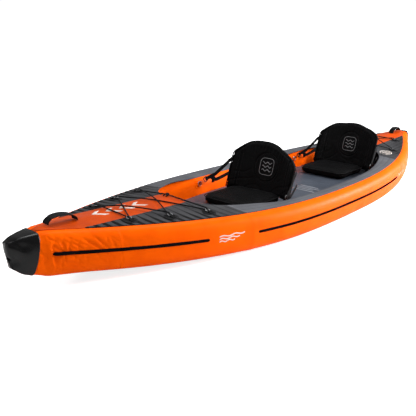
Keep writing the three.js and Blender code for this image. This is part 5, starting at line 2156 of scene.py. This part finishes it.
@dataclass(frozen=True)
class SoftLight:
    """One soft area light that looks at the middle of the kayak."""

    name: str
    place: Triple
    size: tuple[float, float]
    power: float
    target: Triple = (0.0, 0.0, 0.2)
    spread: float = 180.0

    def build(self) -> None:
        """Places the light."""
        data = bpy.data.lights.new(self.name, "AREA")
        data.shape = "RECTANGLE"
        data.size, data.size_y = self.size
        data.energy = self.power
        data.spread = math.radians(self.spread)
        light = bpy.data.objects.new(self.name, data)
        bpy.context.scene.collection.objects.link(light)
        spot = Vector(self.place)
        turn = (spot - Vector(self.target)).to_track_quat("Z", "Y").to_matrix()
        light.matrix_world = Matrix.Translation(spot) @ turn.to_4x4()


@dataclass(frozen=True)
class Studio:
    """The pale floor, the even sky and the soft lights."""

    sky: float = 0.28
    floor_reach: float = 60.0
    lights: tuple[SoftLight, ...] = (
        SoftLight("overhead", (0.2, -0.6, 4.0), (4.5, 1.2), 150),
        SoftLight("aft_port", (-5.2, 3.6, 1.6), (2.8, 2.0), 700, (-0.6, 0.3, 0.15)),
        SoftLight("port_fill", (-1.4, 3.2, 2.8), (2.4, 1.0), 34, (-0.3, -0.4, 0.15), 70),
        SoftLight("bow_top", (4.0, 2.0, 4.0), (0.9, 0.5), 12, (2.0, 0.0, 0.2)),
        SoftLight("bow_starboard", (3.6, -2.6, 1.8), (1.2, 0.6), 45, (1.7, 0.0, 0.2)),
    )

    def build(self) -> None:
        """Builds the studio."""
        world = bpy.data.worlds.new("studio")
        world.use_nodes = True
        tree = world.node_tree
        sky = tree.nodes["Background"]
        sky.inputs["Color"].default_value = (1, 1, 1, 1)
        sky.inputs["Strength"].default_value = self.sky
        seen = tree.nodes.new("ShaderNodeBackground")
        seen.inputs["Color"].default_value = (1, 1, 1, 1)
        seen.inputs["Strength"].default_value = 1.05
        path = tree.nodes.new("ShaderNodeLightPath")
        mix = tree.nodes.new("ShaderNodeMixShader")
        tree.links.new(path.outputs["Is Camera Ray"], mix.inputs["Fac"])
        tree.links.new(sky.outputs["Background"], mix.inputs[1])
        tree.links.new(seen.outputs["Background"], mix.inputs[2])
        tree.links.new(mix.outputs[0], tree.nodes["World Output"].inputs["Surface"])
        bpy.context.scene.world = world
        reach = self.floor_reach
        corners = xyz(reach * np.array([-1, 1, 1, -1]), reach * np.array([-1, -1, 1, 1]), -0.0006)
        floor = mesh_object("studio_floor", corners, [[0, 1, 2, 3]], STAGE_WHITE)
        for light in self.lights:
            light.build()
        bpy.context.scene.view_settings.view_transform = "Standard"


def build_hull(frame: dict) -> None:
    """Builds the hull's skins, strips and decks, and dresses the underside.

    Args:
        frame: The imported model.
    """
    SideChambers().build()
    FloorChamber().build()
    Decks().build()
    EndCaps().build()
    RubStrips().build()
    dress(frame["nodes"]["bottom_panel"], FLOOR_GREY)
    dress(frame["nodes"]["skeg_track"], PLASTIC)


def build_fittings() -> None:
    """Builds the handles, the anchors with their cords, and the valves."""
    CarryHandles().build()
    anchors = CordAnchors()
    anchors.build()
    DeckCords(anchors).build()
    Valves().build()


def build_prints() -> None:
    """Lays the printed marks on the finished skins."""
    objects = bpy.data.objects
    decks = ["bow_deck_skin", "stern_pad_port"]
    prints = Prints(
        deck=Drape([objects[name] for name in decks], (0, 0, -1)),
        sides={
            side: Drape([objects[f"{side}_chamber_skin"]], (0, -hand, 0)) for side, hand in SIDES.items()
        },
        floor=Drape([objects["floor_skin"]], (0, 0, -1)),
    )
    prints.build()


def main() -> None:
    """Builds the whole scene in order."""
    logging.basicConfig(level=logging.INFO, format="%(message)s")
    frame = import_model()
    View().build()
    Studio().build()
    build_hull(frame)
    build_prints()
    build_fittings()
    seats = SeatMaker()
    seats.build("front", SeatLines(axis=0.335), seed=1.0, slump=0.046)
    seats.build("rear", SeatLines(axis=-0.793), seed=5.0, slump=0.0)


if __name__ == "__main__":
    main()
